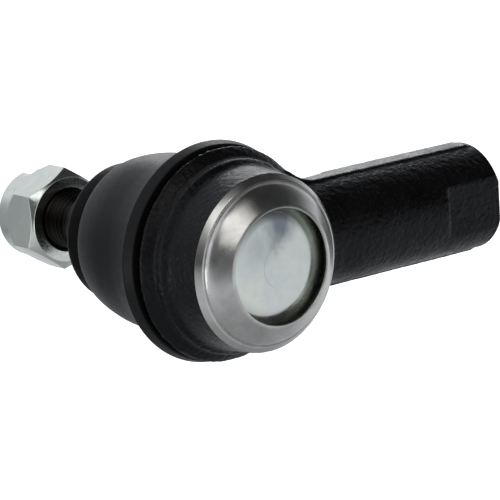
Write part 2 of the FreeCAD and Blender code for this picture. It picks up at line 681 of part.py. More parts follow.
def add_ball(body, d):
    """The ball, with a turned flat on its underside."""
    sketch = make_sketch(body, "ball_outline", "XY_Plane")
    radius = d.ball_d / 2
    flat_y = -math.sqrt(radius.value ** 2 - d.ball_flat_r.value ** 2)
    circle = Part.Circle(FreeCAD.Vector(0, 0, 0), FreeCAD.Vector(0, 0, 1), radius.value)
    start = math.atan2(flat_y, d.ball_flat_r.value)
    pole = FreeCAD.Vector(0, radius.value, 0)
    flat_edge = FreeCAD.Vector(d.ball_flat_r.value, flat_y, 0)
    flat_middle = FreeCAD.Vector(0, flat_y, 0)
    sketch.addGeometry(Part.ArcOfCircle(circle, start, math.pi / 2), False)
    sketch.addGeometry(Part.LineSegment(pole, flat_middle), False)
    sketch.addGeometry(Part.LineSegment(flat_middle, flat_edge), False)
    sketch.addConstraint(Sketcher.Constraint("Coincident", 0, 2, 1, 1))
    sketch.addConstraint(Sketcher.Constraint("Coincident", 1, 2, 2, 1))
    sketch.addConstraint(Sketcher.Constraint("Coincident", 2, 2, 0, 1))
    sketch.addConstraint(Sketcher.Constraint("Coincident", 0, 3, -1, 1))
    sketch.addConstraint(Sketcher.Constraint("PointOnObject", 1, 1, -2))
    sketch.addConstraint(Sketcher.Constraint("PointOnObject", 1, 2, -2))
    sketch.addConstraint(Sketcher.Constraint("Horizontal", 2))
    bind(sketch, Sketcher.Constraint("Radius", 0, radius.value), radius)
    place_coordinate(sketch, 2, 2, True, d.ball_flat_r)
    ball = body.newObject("PartDesign::Revolution", "ball")
    ball.Profile = sketch
    ball.ReferenceAxis = (sketch, ["V_Axis"])
    ball.Angle = FULL_TURN


def make_skirt_ring(doc, d):
    """The steel ring inside the boot's skirt, pressed on the housing's spigot."""
    body = make_body(doc, "boot_skirt_ring")
    turned(body, "ring", [
        (d.spigot_r, d.skirt_ring_start_y),
        (d.spigot_r + d.skirt_ring_t, d.skirt_ring_start_y),
        (d.spigot_r + d.skirt_ring_t, d.skirt_ring_end_y),
        (d.spigot_r, d.skirt_ring_end_y),
    ])
    return body


def make_boot(doc, d):
    """The rubber boot: skirt over the steel ring, waisted side, shoulder and small end."""
    body = make_body(doc, "dust_boot")
    ring_r = d.spigot_r + d.skirt_ring_t + d.fit_gap
    turned(body, "boot", [
        (ring_r, d.skirt_front_y),
        (d.skirt_front_r, d.skirt_front_y),
        (d.skirt_back_r, d.skirt_back_y),
        (d.boot_root_r, d.skirt_back_y + d.boot_root_h),
        (d.boot_waist_r, d.boot_waist_y),
        (d.boot_side_r, d.boot_side_y),
        (d.boot_shoulder_r, d.boot_shoulder_y),
        (d.boot_shoulder_r - d.boot_wall, d.boot_lip_y),
        (d.boot_bead_r, d.boot_lip_y),
        (d.boot_bead_r, d.boot_bead_y),
        (d.boot_side_r - d.boot_wall * 2, d.boot_bead_y - d.boot_root_h),
        (d.boot_side_r - d.boot_wall, d.boot_side_y - d.boot_root_h),
        (d.boot_waist_r - d.boot_wall, d.boot_waist_y),
        (d.boot_root_r - d.boot_wall / 2, d.skirt_back_y + d.boot_root_h * 2),
        (ring_r, d.skirt_ring_end_y + d.fit_gap * 2),
    ])
    return body


def make_seal_ring(doc, d):
    """The hard ring in the boot's small end that turns on the stud's journal."""
    body = make_body(doc, "boot_seal_ring")
    bore_r = d.journal_r + d.fit_gap
    turned(body, "ring", [
        (bore_r, d.ring_hub_start_y),
        (d.ring_hub_r, d.ring_hub_start_y),
        (d.ring_barb_r, d.ring_hub_start_y + d.ring_chamfer),
        (d.ring_barb_r, d.ring_barb_y),
        (d.ring_hub_r, d.ring_barb_y),
        (d.ring_hub_r, d.ring_collar_y),
        (d.ring_collar_r - d.ring_chamfer, d.ring_collar_y),
        (d.ring_collar_r, d.ring_collar_y + d.ring_chamfer),
        (d.ring_collar_r - d.ring_draft, d.ring_end_y - d.ring_chamfer),
        (d.ring_collar_r - d.ring_draft - d.ring_chamfer, d.ring_end_y),
        (bore_r, d.ring_end_y),
    ])
    return body


def make_nut(doc, d):
    """The hexagon lock nut with a crimped collar over its insert."""
    body = make_body(doc, "lock_nut")
    sketch = make_sketch(body, "hexagon_outline", "XZ_Plane")
    draw_hexagon(sketch, d)
    shift_sketch(sketch, -d.nut_face_y - d.nut_hex_h)
    padded(body, "hexagon", sketch, d.nut_hex_h)
    chamfer_hexagon(body, d)
    collar_start = d.nut_face_y + d.nut_hex_h - d.cut_margin
    collar_end = d.nut_face_y + d.nut_h
    corner = d.nut_collar_round * ROUND_SHARE
    turned(body, "collar", [
        (0, collar_start),
        (d.nut_collar_r, collar_start),
        (d.nut_collar_r, collar_end - d.nut_collar_round),
        (d.nut_collar_r - corner, collar_end - corner),
        (d.nut_collar_r - d.nut_collar_round, collar_end),
        (0, collar_end),
    ])
    insert_room_r = d.insert_r + d.fit_gap
    turned(body, "nut_bore", [
        (0, d.nut_face_y - d.cut_margin),
        (d.nut_mouth_r, d.nut_face_y - d.cut_margin),
        (d.nut_mouth_r, d.nut_face_y),
        (d.nut_thread_r, d.nut_face_y + d.nut_mouth_flare),
        (d.nut_thread_r, d.insert_start_y - d.fit_gap),
        (insert_room_r, d.insert_start_y - d.fit_gap),
        (insert_room_r, d.insert_end_y + d.fit_gap),
        (d.nut_lip_r, d.insert_end_y + d.fit_gap),
        (d.nut_lip_r, collar_end + d.cut_margin),
        (0, collar_end + d.cut_margin),
    ], cut=True)
    return body


def draw_hexagon(sketch, d):
    """A regular hexagon with one corner near +Z, turned by the nut's own angle."""
    across = d.nut_across_flats.value
    corner_r = across / math.sqrt(3)
    first = math.pi / 2 + math.radians(d.nut_turn_deg.value)
    corners = []
    for i in range(HEX_SIDES):
        angle = first + i * 2 * math.pi / HEX_SIDES
        corners.append(FreeCAD.Vector(corner_r * math.cos(angle), corner_r * math.sin(angle), 0))
    for i in range(HEX_SIDES):
        sketch.addGeometry(Part.LineSegment(corners[i], corners[(i + 1) % HEX_SIDES]), False)
    circle = Part.Circle(FreeCAD.Vector(0, 0, 0), FreeCAD.Vector(0, 0, 1), corner_r)
    sketch.addGeometry(circle, True)
    for i in range(HEX_SIDES):
        sketch.addConstraint(Sketcher.Constraint("Coincident", i, 2, (i + 1) % HEX_SIDES, 1))
        sketch.addConstraint(Sketcher.Constraint("PointOnObject", i, 1, HEX_SIDES))
    for i in range(HEX_SIDES - 1):
        sketch.addConstraint(Sketcher.Constraint("Equal", i, i + 1))
    sketch.addConstraint(Sketcher.Constraint("Coincident", HEX_SIDES, 3, -1, 1))
    radius = Sketcher.Constraint("Radius", HEX_SIDES, corner_r)
    bind(sketch, radius, Size(corner_r, f"({d.nut_across_flats.text} / sqrt(3))"))
    place_coordinate(sketch, 0, 1, True, first_corner_x(d))


def first_corner_x(d):
    """Sideways place of the nut's first corner, from its turn."""
    value = d.nut_across_flats.value / math.sqrt(3) * math.sin(-math.radians(d.nut_turn_deg.value))
    text = f"({d.nut_across_flats.text} / sqrt(3) * sin(0 deg - {d.nut_turn_deg.text} * 1 deg))"
    return Size(value, text)


def chamfer_hexagon(body, d):
    """Turn the hexagon's corners off at 30 degrees on both faces."""
    far_y = d.nut_face_y + d.nut_hex_h
    outside_r = d.nut_across_flats
    slope = Size(math.tan(math.pi / 6), "tan(30 deg)")
    drop = (outside_r - d.nut_face_r) * slope
    turned(body, "near_chamfer", [
        (d.nut_face_r, d.nut_face_y),
        (outside_r, d.nut_face_y + drop),
        (outside_r, d.nut_face_y - d.cut_margin),
        (d.nut_face_r, d.nut_face_y - d.cut_margin),
    ], cut=True)
    turned(body, "far_chamfer", [
        (d.nut_face_r, far_y),
        (outside_r, far_y - drop),
        (outside_r, far_y + d.cut_margin),
        (d.nut_face_r, far_y + d.cut_margin),
    ], cut=True)


def make_insert(doc, d):
    """The locking insert held in the nut's collar, formed to the stud's thread."""
    body = make_body(doc, "nut_insert")
    turned(body, "insert", [
        (d.nut_thread_r, d.insert_start_y),
        (d.insert_r, d.insert_start_y),
        (d.insert_r, d.insert_end_y),
        (d.nut_thread_r, d.insert_end_y),
    ])
    return body


MAKERS = [
    make_housing,
    make_cover,
    make_spring,
    make_lower_bearing,
    make_upper_bearing,
    make_stud,
    make_skirt_ring,
    make_boot,
    make_seal_ring,
    make_nut,
    make_insert,
]


def check_document(doc):
    """Stop if any object failed to recompute."""
    for item in doc.Objects:
        if "Invalid" in item.State or "Error" in item.State:
            raise RuntimeError(f"{item.Name} failed: {item.State}")


def check_piece(body):
    """Stop unless the piece is one valid solid."""
    shape = body.Shape
    if shape.isNull() or not shape.isValid() or len(shape.Solids) != 1:
        raise RuntimeError(f"{body.Label} is not one valid solid")


def main():
    doc = FreeCAD.newDocument("tie_rod_end")
    d = Sizes(make_sheet(doc))
    bodies = [maker(doc, d) for maker in MAKERS]
    doc.recompute()
    check_document(doc)
    for body in bodies:
        check_piece(body)
    os.makedirs("parts", exist_ok=True)
    for body in bodies:
        body.Shape.exportStep(f"parts/{body.Label}.step")
        print(body.Label, round(body.Shape.Volume, 1), "mm3")


main()
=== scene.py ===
import math

import bmesh
import bpy
from mathutils import Matrix, Vector, noise


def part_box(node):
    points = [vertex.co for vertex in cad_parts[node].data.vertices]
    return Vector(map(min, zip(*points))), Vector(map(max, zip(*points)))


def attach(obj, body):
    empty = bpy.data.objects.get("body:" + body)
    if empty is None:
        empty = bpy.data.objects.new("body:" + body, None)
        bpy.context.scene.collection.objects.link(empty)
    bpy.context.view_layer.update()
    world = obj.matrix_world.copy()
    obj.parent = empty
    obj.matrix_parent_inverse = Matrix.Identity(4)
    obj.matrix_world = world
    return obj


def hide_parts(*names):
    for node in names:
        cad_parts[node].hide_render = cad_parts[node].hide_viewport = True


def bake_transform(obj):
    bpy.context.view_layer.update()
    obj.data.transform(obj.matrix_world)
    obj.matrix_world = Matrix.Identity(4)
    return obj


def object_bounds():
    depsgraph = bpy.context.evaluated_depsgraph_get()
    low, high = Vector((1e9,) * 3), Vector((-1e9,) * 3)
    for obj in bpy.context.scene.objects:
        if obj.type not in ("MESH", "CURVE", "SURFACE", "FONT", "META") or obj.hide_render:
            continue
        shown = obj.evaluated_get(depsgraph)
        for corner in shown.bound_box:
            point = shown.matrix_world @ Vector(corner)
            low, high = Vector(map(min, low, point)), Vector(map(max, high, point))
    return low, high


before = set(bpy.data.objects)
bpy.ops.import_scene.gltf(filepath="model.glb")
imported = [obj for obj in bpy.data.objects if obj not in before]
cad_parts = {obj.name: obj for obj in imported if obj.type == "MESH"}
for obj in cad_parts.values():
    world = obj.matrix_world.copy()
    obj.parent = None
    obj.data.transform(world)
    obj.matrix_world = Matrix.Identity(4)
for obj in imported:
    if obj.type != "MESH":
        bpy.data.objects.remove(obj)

bl_info = {
    "name": "Tie Rod End",
    "version": (1, 0, 0),
    "blender": (4, 5, 0),
    "location": "View3D > Sidebar > Tie Rod End",
    "description": "Forged steering tie rod end with a swaged ball joint, rubber boot and lock nut",
    "category": "Add Mesh",
}

MM = 0.001
CAD_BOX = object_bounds()
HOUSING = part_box("housing")
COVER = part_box("cover_plate")
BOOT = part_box("dust_boot")
SEAL_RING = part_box("boot_seal_ring")
SKIRT_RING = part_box("boot_skirt_ring")
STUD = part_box("ball_stud")
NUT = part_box("lock_nut")
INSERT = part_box("nut_insert")

RIM_Y = HOUSING[0].y
SHANK_END = HOUSING[1].x
FLANGE_R = -HOUSING[0].x
MERGE = 1e-7
OVERCUT = 1.0 * MM
FIT_GAP = 0.05 * MM
SMOOTH_ANGLE = math.radians(32)
CORNER_SLOPE = math.radians(38)
SHOULDER_SLOPE = math.radians(60)
CLIP_RANGE = (0.01, 100.0)
# Blue-grey of the painted dark reflections on the cover plate.
DARK_REFLECTION_TINT = (0.10, 0.13, 0.18, 1.0)
DULL_BROWN = (0.22, 0.20, 0.17, 1.0)

# Zones of the surrounding light: middle, cosines where the zone starts and is full, and the
# light or the share of light outside and inside it.
CEILING = ((0.45, -0.45, 0.77), 0.42, 0.78, 0.82, 0.04)
CAMERA_GAP = ((-0.61, -0.76, 0.22), 0.80, 0.95, 1.0, 0.12)
LOW_LEFT = ((-0.50, 0.84, -0.22), 0.80, 0.95, 1.0, 0.45)
BACKDROP = ((0.57, 0.82, -0.03), 0.86, 0.97, 0.0, 0.95)
# Light falls off towards the ground: heights of the ray, then the share of light at each.
GROUND_FALL = (-0.9, -0.25, 0.45, 1.0)
# Name, place, side and radiance of each soft box.
SOFT_BOXES = (
    ("front_box", (-0.24, -0.74, 0.62), 0.62, 1.3),
    ("back_box", (0.55, 0.72, 0.41), 0.36, 3.4),
    ("left_box", (-0.93, 0.30, -0.20), 0.34, 2.6),
)


def length(name, value, description):
    """A size in millimetres as a length property, which Blender keeps in metres."""
    return bpy.props.FloatProperty(
        name=name, description=description, default=value * MM, unit="LENGTH", precision=5)


def color(name, value, description):
    """A base colour as a property."""
    return bpy.props.FloatVectorProperty(
        name=name, description=description, default=value, size=3, subtype="COLOR", min=0.0, max=1.0)


class HeadSizes(bpy.types.PropertyGroup):
    """Sizes of the forging, its machined lip and the cover plate."""

    drum_r: length("Drum radius", 18.0, "Radius at the machined shoulder")
    drum_back_r: length("Drum back radius", 18.7, "Drum radius beside the step")
    drum_back_y: length("Drum back", -6.2, "End of the drum beside the step")
    step_r: length("Step radius", 19.9, "Radius of the step below the flange")
    step_y: length("Step", -5.0, "Front of the step below the flange")
    flange_front_r: length("Flange front radius", 20.5, "Flange radius at its front corner")
    flange_front_y: length("Flange front", -2.7, "Front of the trimmed flange")
    flange_back_y: length("Flange back", -0.7, "Back of the trimmed flange")
    spigot_end_y: length("Spigot end", 3.8, "End of the spigot under the boot's skirt")
    nose_r: length("Nose radius", 15.2, "Outer radius at the end face towards the stud")
    paint_y: length("Paint edge", -13.5, "Plane where the paint ends and bare steel starts")
    shoulder_y: length("Shoulder", -14.6, "Machined shoulder round the swaged lip")
    lip_base_r: length("Lip base radius", 16.5, "Outer radius of the lip at its base")
    lip_bend_r: length("Lip bend radius", 15.6, "Radius where the lip bends inwards")
    lip_bend_y: length("Lip bend", -15.9, "Plane where the lip bends inwards")
    rim_outer_r: length("Rim outer radius", 12.35, "Outer radius of the lip's rim")
    rim_r: length("Rim radius", 11.7, "Opening of the swaged lip")
    edge_w: length("Edge width", 1.05, "Chamfer on the outer edge of the bare shoulder")
    cover_seat_y: length("Cover seat", -12.2, "Step that the cover plate rests on")
    plate_t: length("Plate thickness", 2.5, "Thickness of the cover plate")
    cover_margin_y: length("Cover margin", -13.9, "Plane where the cover's bent margin ends")
    bearing_r: length("Bearing bore", 14.15, "Bore that holds the bearings")
    seat_cone_y: length("Seat cone", 2.5, "Start of the bearing seat's cone")
    seat_top_r: length("Seat top radius", 12.3, "Small radius of the bearing seat's cone")
    seat_top_y: length("Seat top", 5.65, "End of the bearing seat's cone")
    mouth_r: length("Mouth radius", 10.7, "Narrowest radius of the mouth")
    mouth_y: length("Mouth", 7.2, "Plane of the narrowest mouth")
    mouth_end_r: length("Mouth end radius", 11.5, "Radius of the mouth at the end face")
    nose_y: length("Nose", 8.2, "End face of the head towards the stud")
    voxel: length("Forging grain", 0.38, "Mesh spacing on the forged skin")


class ShankSizes(bpy.types.PropertyGroup):
    """Sizes of the neck and the threaded shank."""

    shank_r: length("Shank radius", 11.4, "Radius of the shank")
    neck_r: length("Neck radius", 11.25, "Half width of the neck beside the head")
    start_x: length("Shank start", 28.0, "End of the neck, start of the full shank")
    land_half: length("Land half width", 2.4, "Half width of the trimmed parting land")
    land_rise: length("Land rise", 0.15, "Height of the parting land above the shank")
    land_end_gap: length("Land end gap", 1.6, "Shank end left round past the parting land")
    strip_lead: length("Strip lead", 9.0, "Start of the parting strip, before the full shank")
    strip_taper: length("Strip taper", 3.2, "Start of the strip's widening, before the full shank")
    web_round: length("Web round", 9.0, "Radius of the parting web between head and shank")
    flats_width: length("Flats width", 20.0, "Width across the wrench flats")
    flats_x: length("Flats start", 52.0, "Start of the wrench flats")
    chamfer: length("End chamfer", 0.8, "Chamfer on the open end")
    boot_relief_r: length("Boot relief", 23.85, "Radius that is kept clear for the boot's skirt")
    thread_minor_r: length("Thread minor radius", 6.19, "Minor radius of the internal thread")
    thread_major_r: length("Thread major radius", 7.0, "Major radius of the internal thread")
    thread_pitch: length("Thread pitch", 1.5, "Pitch of the internal thread")
    relief_spread: length("Relief spread", 3.5, "Widening of the boot's relief up to the shank's side")
    drill_depth: length("Drill depth", 41.0, "Depth of the tapping hole")
    thread_depth: length("Thread depth", 37.0, "Depth of the internal thread")
    mouth_r: length("Mouth radius", 7.3, "Countersink radius at the thread's mouth")


class BootSizes(bpy.types.PropertyGroup):
    """Sizes of the rubber boot and the ring in its small end."""

    skirt_front_r: length("Skirt front radius", 22.1, "Skirt radius at its front edge")
    skirt_end_y: length("Skirt end", 3.85, "Back of the skirt band")
    root_r: length("Root radius", 20.7, "Boot radius where it leaves the skirt")
    root_y: length("Root", 4.5, "Plane where the boot leaves the skirt")
    waist_r: length("Waist radius", 18.9, "Boot radius past the skirt")
    waist_y: length("Waist", 9.6, "Plane of the waist")
    side_r: length("Side radius", 18.0, "Boot radius before the shoulder")
    side_y: length("Side", 22.4, "Plane before the shoulder")
    shoulder_r: length("Shoulder radius", 16.2, "Boot radius on the shoulder")
    shoulder_y: length("Shoulder", 27.5, "Plane of the shoulder")
    wall: length("Wall", 1.9, "Wall of the boot")
    bead_r: length("Bead bore", 11.6, "Bore of the boot's small end")
    bead_y: length("Bead", 25.8, "Inner face of the boot's small end")
    ring_hub_r: length("Ring hub radius", 11.5, "Hub radius of the seal ring")
    ring_bore_r: length("Ring bore", 7.3, "Bore of the seal ring")
    ring_flange: length("Ring flange", 0.8, "Width and height of the flange on the seal ring's hub")
    ring_groove: length("Ring groove", 0.45, "Depth of the groove in the seal ring's end")
    ring_collar_y: length("Ring collar", 29.05, "Inner face of the seal ring's collar")


class StudSizes(bpy.types.PropertyGroup):
    """Sizes of the ball stud and its lock nut."""

    flat_r: length("Ball flat radius", 3.0, "Flat turned on the underside of the ball")
    neck_r: length("Neck radius", 6.25, "Stud neck radius")
    neck_end_y: length("Neck end", 17.5, "End of the stud neck")
    journal_r: length("Journal radius", 7.25, "Radius under the seal ring")
    journal_y: length("Journal start", 22.5, "Start of the stud's full radius")
    taper_y: length("Taper start", 33.9, "Large end of the taper")
    taper_end_y: length("Taper end", 44.4, "Small end of the taper")
    taper_end_r: length("Taper end radius", 6.6, "Radius at the small end of the taper")
    relief_r: length("Relief radius", 5.2, "Radius of the thread relief")
    thread_y: length("Thread start", 46.0, "Start of the stud's thread")
    thread_major_r: length("Thread major radius", 5.97, "Crest radius of the stud's thread")
    thread_minor_r: length("Thread minor radius", 5.25, "Root radius of the stud's thread")
    thread_pitch: length("Thread pitch", 1.25, "Pitch of the stud's thread")
    end_chamfer: length("End chamfer", 1.0, "Chamfer on the stud's free end")
    thread_gap: length("Thread gap", 0.05, "Running gap between the stud's and the nut's thread")
    nut_flats: length("Nut width", 19.0, "Width of the nut across its flats")
    nut_hex_h: length("Hexagon height", 9.6, "Height of the nut's hexagon")
    nut_face_r: length("Nut face radius", 9.05, "Radius of the nut's bearing face")
    nut_face_rise: length("Nut face rise", 0.10, "Height of the bearing face above the corners' cone")
    nut_mouth_r: length("Nut mouth radius", 6.9, "Countersink radius on the bearing face")
    nut_bore_r: length("Nut bore radius", 5.4, "Minor radius of the nut's thread")
    collar_r: length("Collar radius", 9.3, "Radius of the nut's crimped collar")
    collar_lip_r: length("Collar lip radius", 7.1, "Opening of the crimped collar")
    insert_r: length("Insert radius", 7.9, "Outer radius of the locking insert")
    insert_bore_r: length("Insert bore radius", 6.03, "Bore of the locking insert")
    nut_turn: bpy.props.FloatProperty(
        name="Nut turn", description="Turn of the nut's corners from the vertical",
        default=math.radians(4.5), subtype="ANGLE")


class Finishes(bpy.types.PropertyGroup):
    """Base colours of the finishes."""

    paint: color("Black paint", (0.0045, 0.0045, 0.0050), "Paint on the forging")
    turned_steel: color("Turned steel", (0.66, 0.65, 0.625), "Bare steel of the swaged lip")
    zinc: color("Zinc plate", (0.735, 0.785, 0.760), "Plating on the cover and the nut")
    stud: color("Stud steel", (0.024, 0.022, 0.020), "Phosphated steel of the stud")
    rubber: color("Rubber", (0.0062, 0.0062, 0.0062), "Rubber of the boot")
    ring: color("Seal ring", (0.0018, 0.0018, 0.0020), "Moulded seal ring")
    nylon: color("Nylon", (0.10, 0.28, 0.62), "Locking insert")
    acetal: color("Acetal", (0.78, 0.76, 0.70), "Bearings")
    spring: color("Spring steel", (0.42, 0.42, 0.43), "Disc spring and skirt ring")


class StageSettings(bpy.types.PropertyGroup):
    """Camera, floor and surrounding light."""

    lens: bpy.props.FloatProperty(
        name="Lens", description="Focal length in millimetres", default=259.2, min=10.0)
    distance: length("Distance", 722.70, "Distance from the camera to its aim point")
    aim: bpy.props.FloatVectorProperty(
        name="Aim", description="Point that the camera looks at", size=3, unit="LENGTH",
        default=(4.33 * MM, -3.33 * MM, 0.41 * MM))
    azimuth: bpy.props.FloatProperty(
        name="Azimuth", description="Turn of the camera about the vertical",
        default=math.radians(-38.56), subtype="ANGLE")
    elevation: bpy.props.FloatProperty(
        name="Elevation", description="Height of the camera above the horizon",
        default=math.radians(13.09), subtype="ANGLE")
    roll: bpy.props.FloatProperty(
        name="Roll", description="Tilt of the camera about its own axis",
        default=math.radians(-3.44), subtype="ANGLE")
    floor_drop: length("Floor drop", 120.0, "Gap between the part and the floor")
    floor_size: length("Floor size", 9000.0, "Side of the floor")
    floor_tint: color("Floor tint", (0.90, 0.90, 0.90), "Colour of the floor")
    world_tint: color("World tint", (0.92, 0.95, 1.0), "Colour of the surrounding light")


# ---------------------------------------------------------------- mesh helpers


def outline(bm, corners, closed=False, steps=6, along_x=False):
    """A wire outline through (radius, along) corners. A corner's third value rounds it."""
    verts = []
    for radius, along, *_ in corners:
        place = (along, radius, 0.0) if along_x else (radius, along, 0.0)
        verts.append(bm.verts.new(place))
    for first, second in zip(verts, verts[1:]):
        bm.edges.new((first, second))
    if closed:
        bm.edges.new((verts[-1], verts[0]))
    for vert, corner in zip(verts, corners):
        if len(corner) > 2:
            bmesh.ops.bevel(
                bm, geom=[vert], offset=corner[2], offset_type="OFFSET", segments=steps,
                profile=0.5, affect="VERTICES", material=-1)


def turn(bm, steps, along_x=False):
    """Turn everything in the bmesh into a closed solid of revolution."""
    bmesh.ops.spin(
        bm, geom=bm.verts[:] + bm.edges[:], cent=(0, 0, 0),
        axis=(1, 0, 0) if along_x else (0, 1, 0), dvec=(0, 0, 0), angle=math.tau,
        steps=steps, use_merge=True, use_normal_flip=False, use_duplicate=False)
    bmesh.ops.remove_doubles(bm, verts=bm.verts[:], dist=MERGE)
    bmesh.ops.dissolve_degenerate(bm, edges=bm.edges[:], dist=MERGE)
    bmesh.ops.recalc_face_normals(bm, faces=bm.faces[:])


def to_object(bm, name):
    """Put the bmesh in a new object at the origin."""
    mesh = bpy.data.meshes.new(name)
    bm.to_mesh(mesh)
    bm.free()
    piece = bpy.data.objects.new(name, mesh)
    bpy.context.scene.collection.objects.link(piece)
    return piece


def turned(name, corners, closed=False, steps=144, round_steps=6, along_x=False):
    """A turned solid from a rounded outline."""
    bm = bmesh.new()
    outline(bm, corners, closed, round_steps, along_x)
    turn(bm, steps, along_x)
    return to_object(bm, name)


def block(name, low, high):
    """A plain block between two corners, used to cut or to join."""
    bm = bmesh.new()
    bmesh.ops.create_cube(bm, size=1.0)
    low, high = Vector(low), Vector(high)
    bmesh.ops.scale(bm, vec=high - low, verts=bm.verts[:])
    bmesh.ops.translate(bm, vec=(low + high) / 2, verts=bm.verts[:])
    return to_object(bm, name)


def raise_faces(bm, along):
    """Raise every face of a flat outline into a closed prism."""
    raised = bmesh.ops.extrude_face_region(bm, geom=bm.faces[:], use_keep_orig=True)
    moved = [item for item in raised["geom"] if isinstance(item, bmesh.types.BMVert)]
    bmesh.ops.translate(bm, vec=along, verts=moved)
    bmesh.ops.recalc_face_normals(bm, faces=bm.faces[:])


def settle(piece):
    """Replace a piece's mesh with what its modifiers make of it."""
    graph = bpy.context.evaluated_depsgraph_get()
    mesh = bpy.data.meshes.new_from_object(piece.evaluated_get(graph))
    piece.modifiers.clear()
    piece.data = mesh
    return piece


def combine(piece, tool, operation, solver="EXACT"):
    """Join, cut or intersect a piece with a tool, which is used up."""
    modifier = piece.modifiers.new(operation.lower(), "BOOLEAN")
    modifier.operation = operation
    modifier.solver = solver
    modifier.object = tool
    settle(piece)
    bpy.data.objects.remove(tool)
    return piece


def thread(name, crest_r, root_r, pitch, start, end, flank_gap=0.0, along_x=False, steps=48):
    """A closed rod with a right-hand thread between two planes along its axis.

    The thread's phase comes from the axis alone, so a tap and a stud made here mesh together.
    """
    root_land = 0.20 * pitch - flank_gap
    crest_land = 0.14 * pitch + flank_gap
    slope = (pitch - root_land - crest_land) / 2
    base = math.floor(start / pitch - 2) * pitch - root_land / 2
    turns = math.ceil((end - base) / pitch) + 2
    corners = [
        (root_r, base),
        (root_r, base + root_land),
        (crest_r, base + root_land + slope),
        (crest_r, base + root_land + slope + crest_land),
        (root_r, base + pitch),
    ]
    bm = bmesh.new()
    outline(bm, corners, along_x=along_x)
    axis = Vector((1, 0, 0)) if along_x else Vector((0, 1, 0))
    bmesh.ops.spin(
        bm, geom=bm.verts[:] + bm.edges[:], cent=(0, 0, 0), axis=axis,
        dvec=axis * (pitch / steps), angle=math.tau * turns, steps=steps * turns,
        use_merge=False, use_normal_flip=False, use_duplicate=False)
    bmesh.ops.remove_doubles(bm, verts=bm.verts[:], dist=10 * MERGE)
    for place, inner in ((start, True), (end, False)):
        bmesh.ops.bisect_plane(
            bm, geom=bm.verts[:] + bm.edges[:] + bm.faces[:], dist=MERGE,
            plane_co=axis * place, plane_no=axis, clear_inner=inner, clear_outer=not inner)
    bmesh.ops.holes_fill(bm, edges=[edge for edge in bm.edges if edge.is_boundary], sides=0)
    bmesh.ops.recalc_face_normals(bm, faces=bm.faces[:])
    return to_object(bm, name)


def soften(piece, passes, factor, chosen=None):
    """Relax a mesh, everywhere or only where chosen(point) is true."""
    bm = bmesh.new()
    bm.from_mesh(piece.data)
    verts = [vert for vert in bm.verts if chosen is None or chosen(vert.co)]
    for _ in range(passes):
        bmesh.ops.smooth_vert(
            bm, verts=verts, factor=factor, use_axis_x=True, use_axis_y=True, use_axis_z=True)
    bm.to_mesh(piece.data)
    bm.free()


def hammer(piece, depth, size, chosen):
    """Press a forged, uneven skin into the mesh. It only moves inwards."""
    bm = bmesh.new()
    bm.from_mesh(piece.data)
    bm.normal_update()
    for vert in bm.verts:
        strength = chosen(vert.co)
        if strength > 0.0:
            broad = noise.noise(vert.co / size)
            fine = noise.noise(vert.co / (size * 0.4) + Vector((7.0, 3.0, 5.0)))
            press = 0.5 + 0.35 * broad + 0.15 * fine
            vert.co -= vert.normal * (depth * strength * press)
    bm.to_mesh(piece.data)
    bm.free()


def finish(piece, body, slot, *nodes, angle=SMOOTH_ANGLE):
    """Shade a finished piece, stand it in for its nodes and let it ride. The slot is not used."""
    piece.data.shade_smooth()
    piece.data.set_sharp_from_angle(angle=angle)
    if nodes:
        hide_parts(*nodes)
    if body:
        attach(piece, body)


def paint(piece, material):
    """Give a piece one material."""
    piece.data.materials.clear()
    piece.data.materials.append(material)


# ------------------------------------------------------------ material helpers


def add_node(tree, kind, inputs=None, **settings):
    """A node with its settings and its inputs, each a plain value or a linked socket."""
    node = tree.nodes.new(kind)
    for key, value in settings.items():
        setattr(node, key, value)
    for key, value in (inputs or {}).items():
        if isinstance(value, bpy.types.NodeSocket):
            tree.links.new(value, node.inputs[key])
        else:
            node.inputs[key].default_value = value
    return node


def new_group(name, inputs, outputs):
    """A shader node group with named sockets: (name, kind, default) and (name, kind)."""
    tree = bpy.data.node_groups.new(name, "ShaderNodeTree")
    for label, kind, default in inputs:
        socket = tree.interface.new_socket(name=label, in_out="INPUT", socket_type=kind)
        if default is not None:
            socket.default_value = default
    for label, kind in outputs:
        tree.interface.new_socket(name=label, in_out="OUTPUT", socket_type=kind)
    return tree, tree.nodes.new("NodeGroupInput"), tree.nodes.new("NodeGroupOutput")


def forged_skin_group():
    """Scaly height and a patchy mask, as on a shot-blasted forging under paint."""
    tree, source, sink = new_group(
        "forged_skin",
        [("Vector", "NodeSocketVector", None), ("Scale", "NodeSocketFloat", 900.0)],
        [("Height", "NodeSocketFloat"), ("Mask", "NodeSocketFloat")])
    fine = add_node(tree, "ShaderNodeTexNoise", {
        "Vector": source.outputs["Vector"], "Scale": source.outputs["Scale"],
        "Detail": 4.0, "Roughness": 0.62, "Distortion": 0.6})
    coarse = add_node(tree, "ShaderNodeTexNoise", {
        "Vector": source.outputs["Vector"],
        "Scale": calc(tree, "MULTIPLY", source.outputs["Scale"], 0.22),
        "Detail": 2.0, "Roughness": 0.5})
    pits = add_node(tree, "ShaderNodeTexVoronoi", {
        "Vector": source.outputs["Vector"], "Scale": source.outputs["Scale"],
        "Smoothness": 0.6}, feature="SMOOTH_F1")
    grain = calc(tree, "ADD", fine.outputs["Fac"], coarse.outputs["Fac"])
    height = calc(tree, "MULTIPLY_ADD", pits.outputs["Distance"], 0.5, grain)
    tree.links.new(height, sink.inputs["Height"])
    tree.links.new(coarse.outputs["Fac"], sink.inputs["Mask"])
    return tree


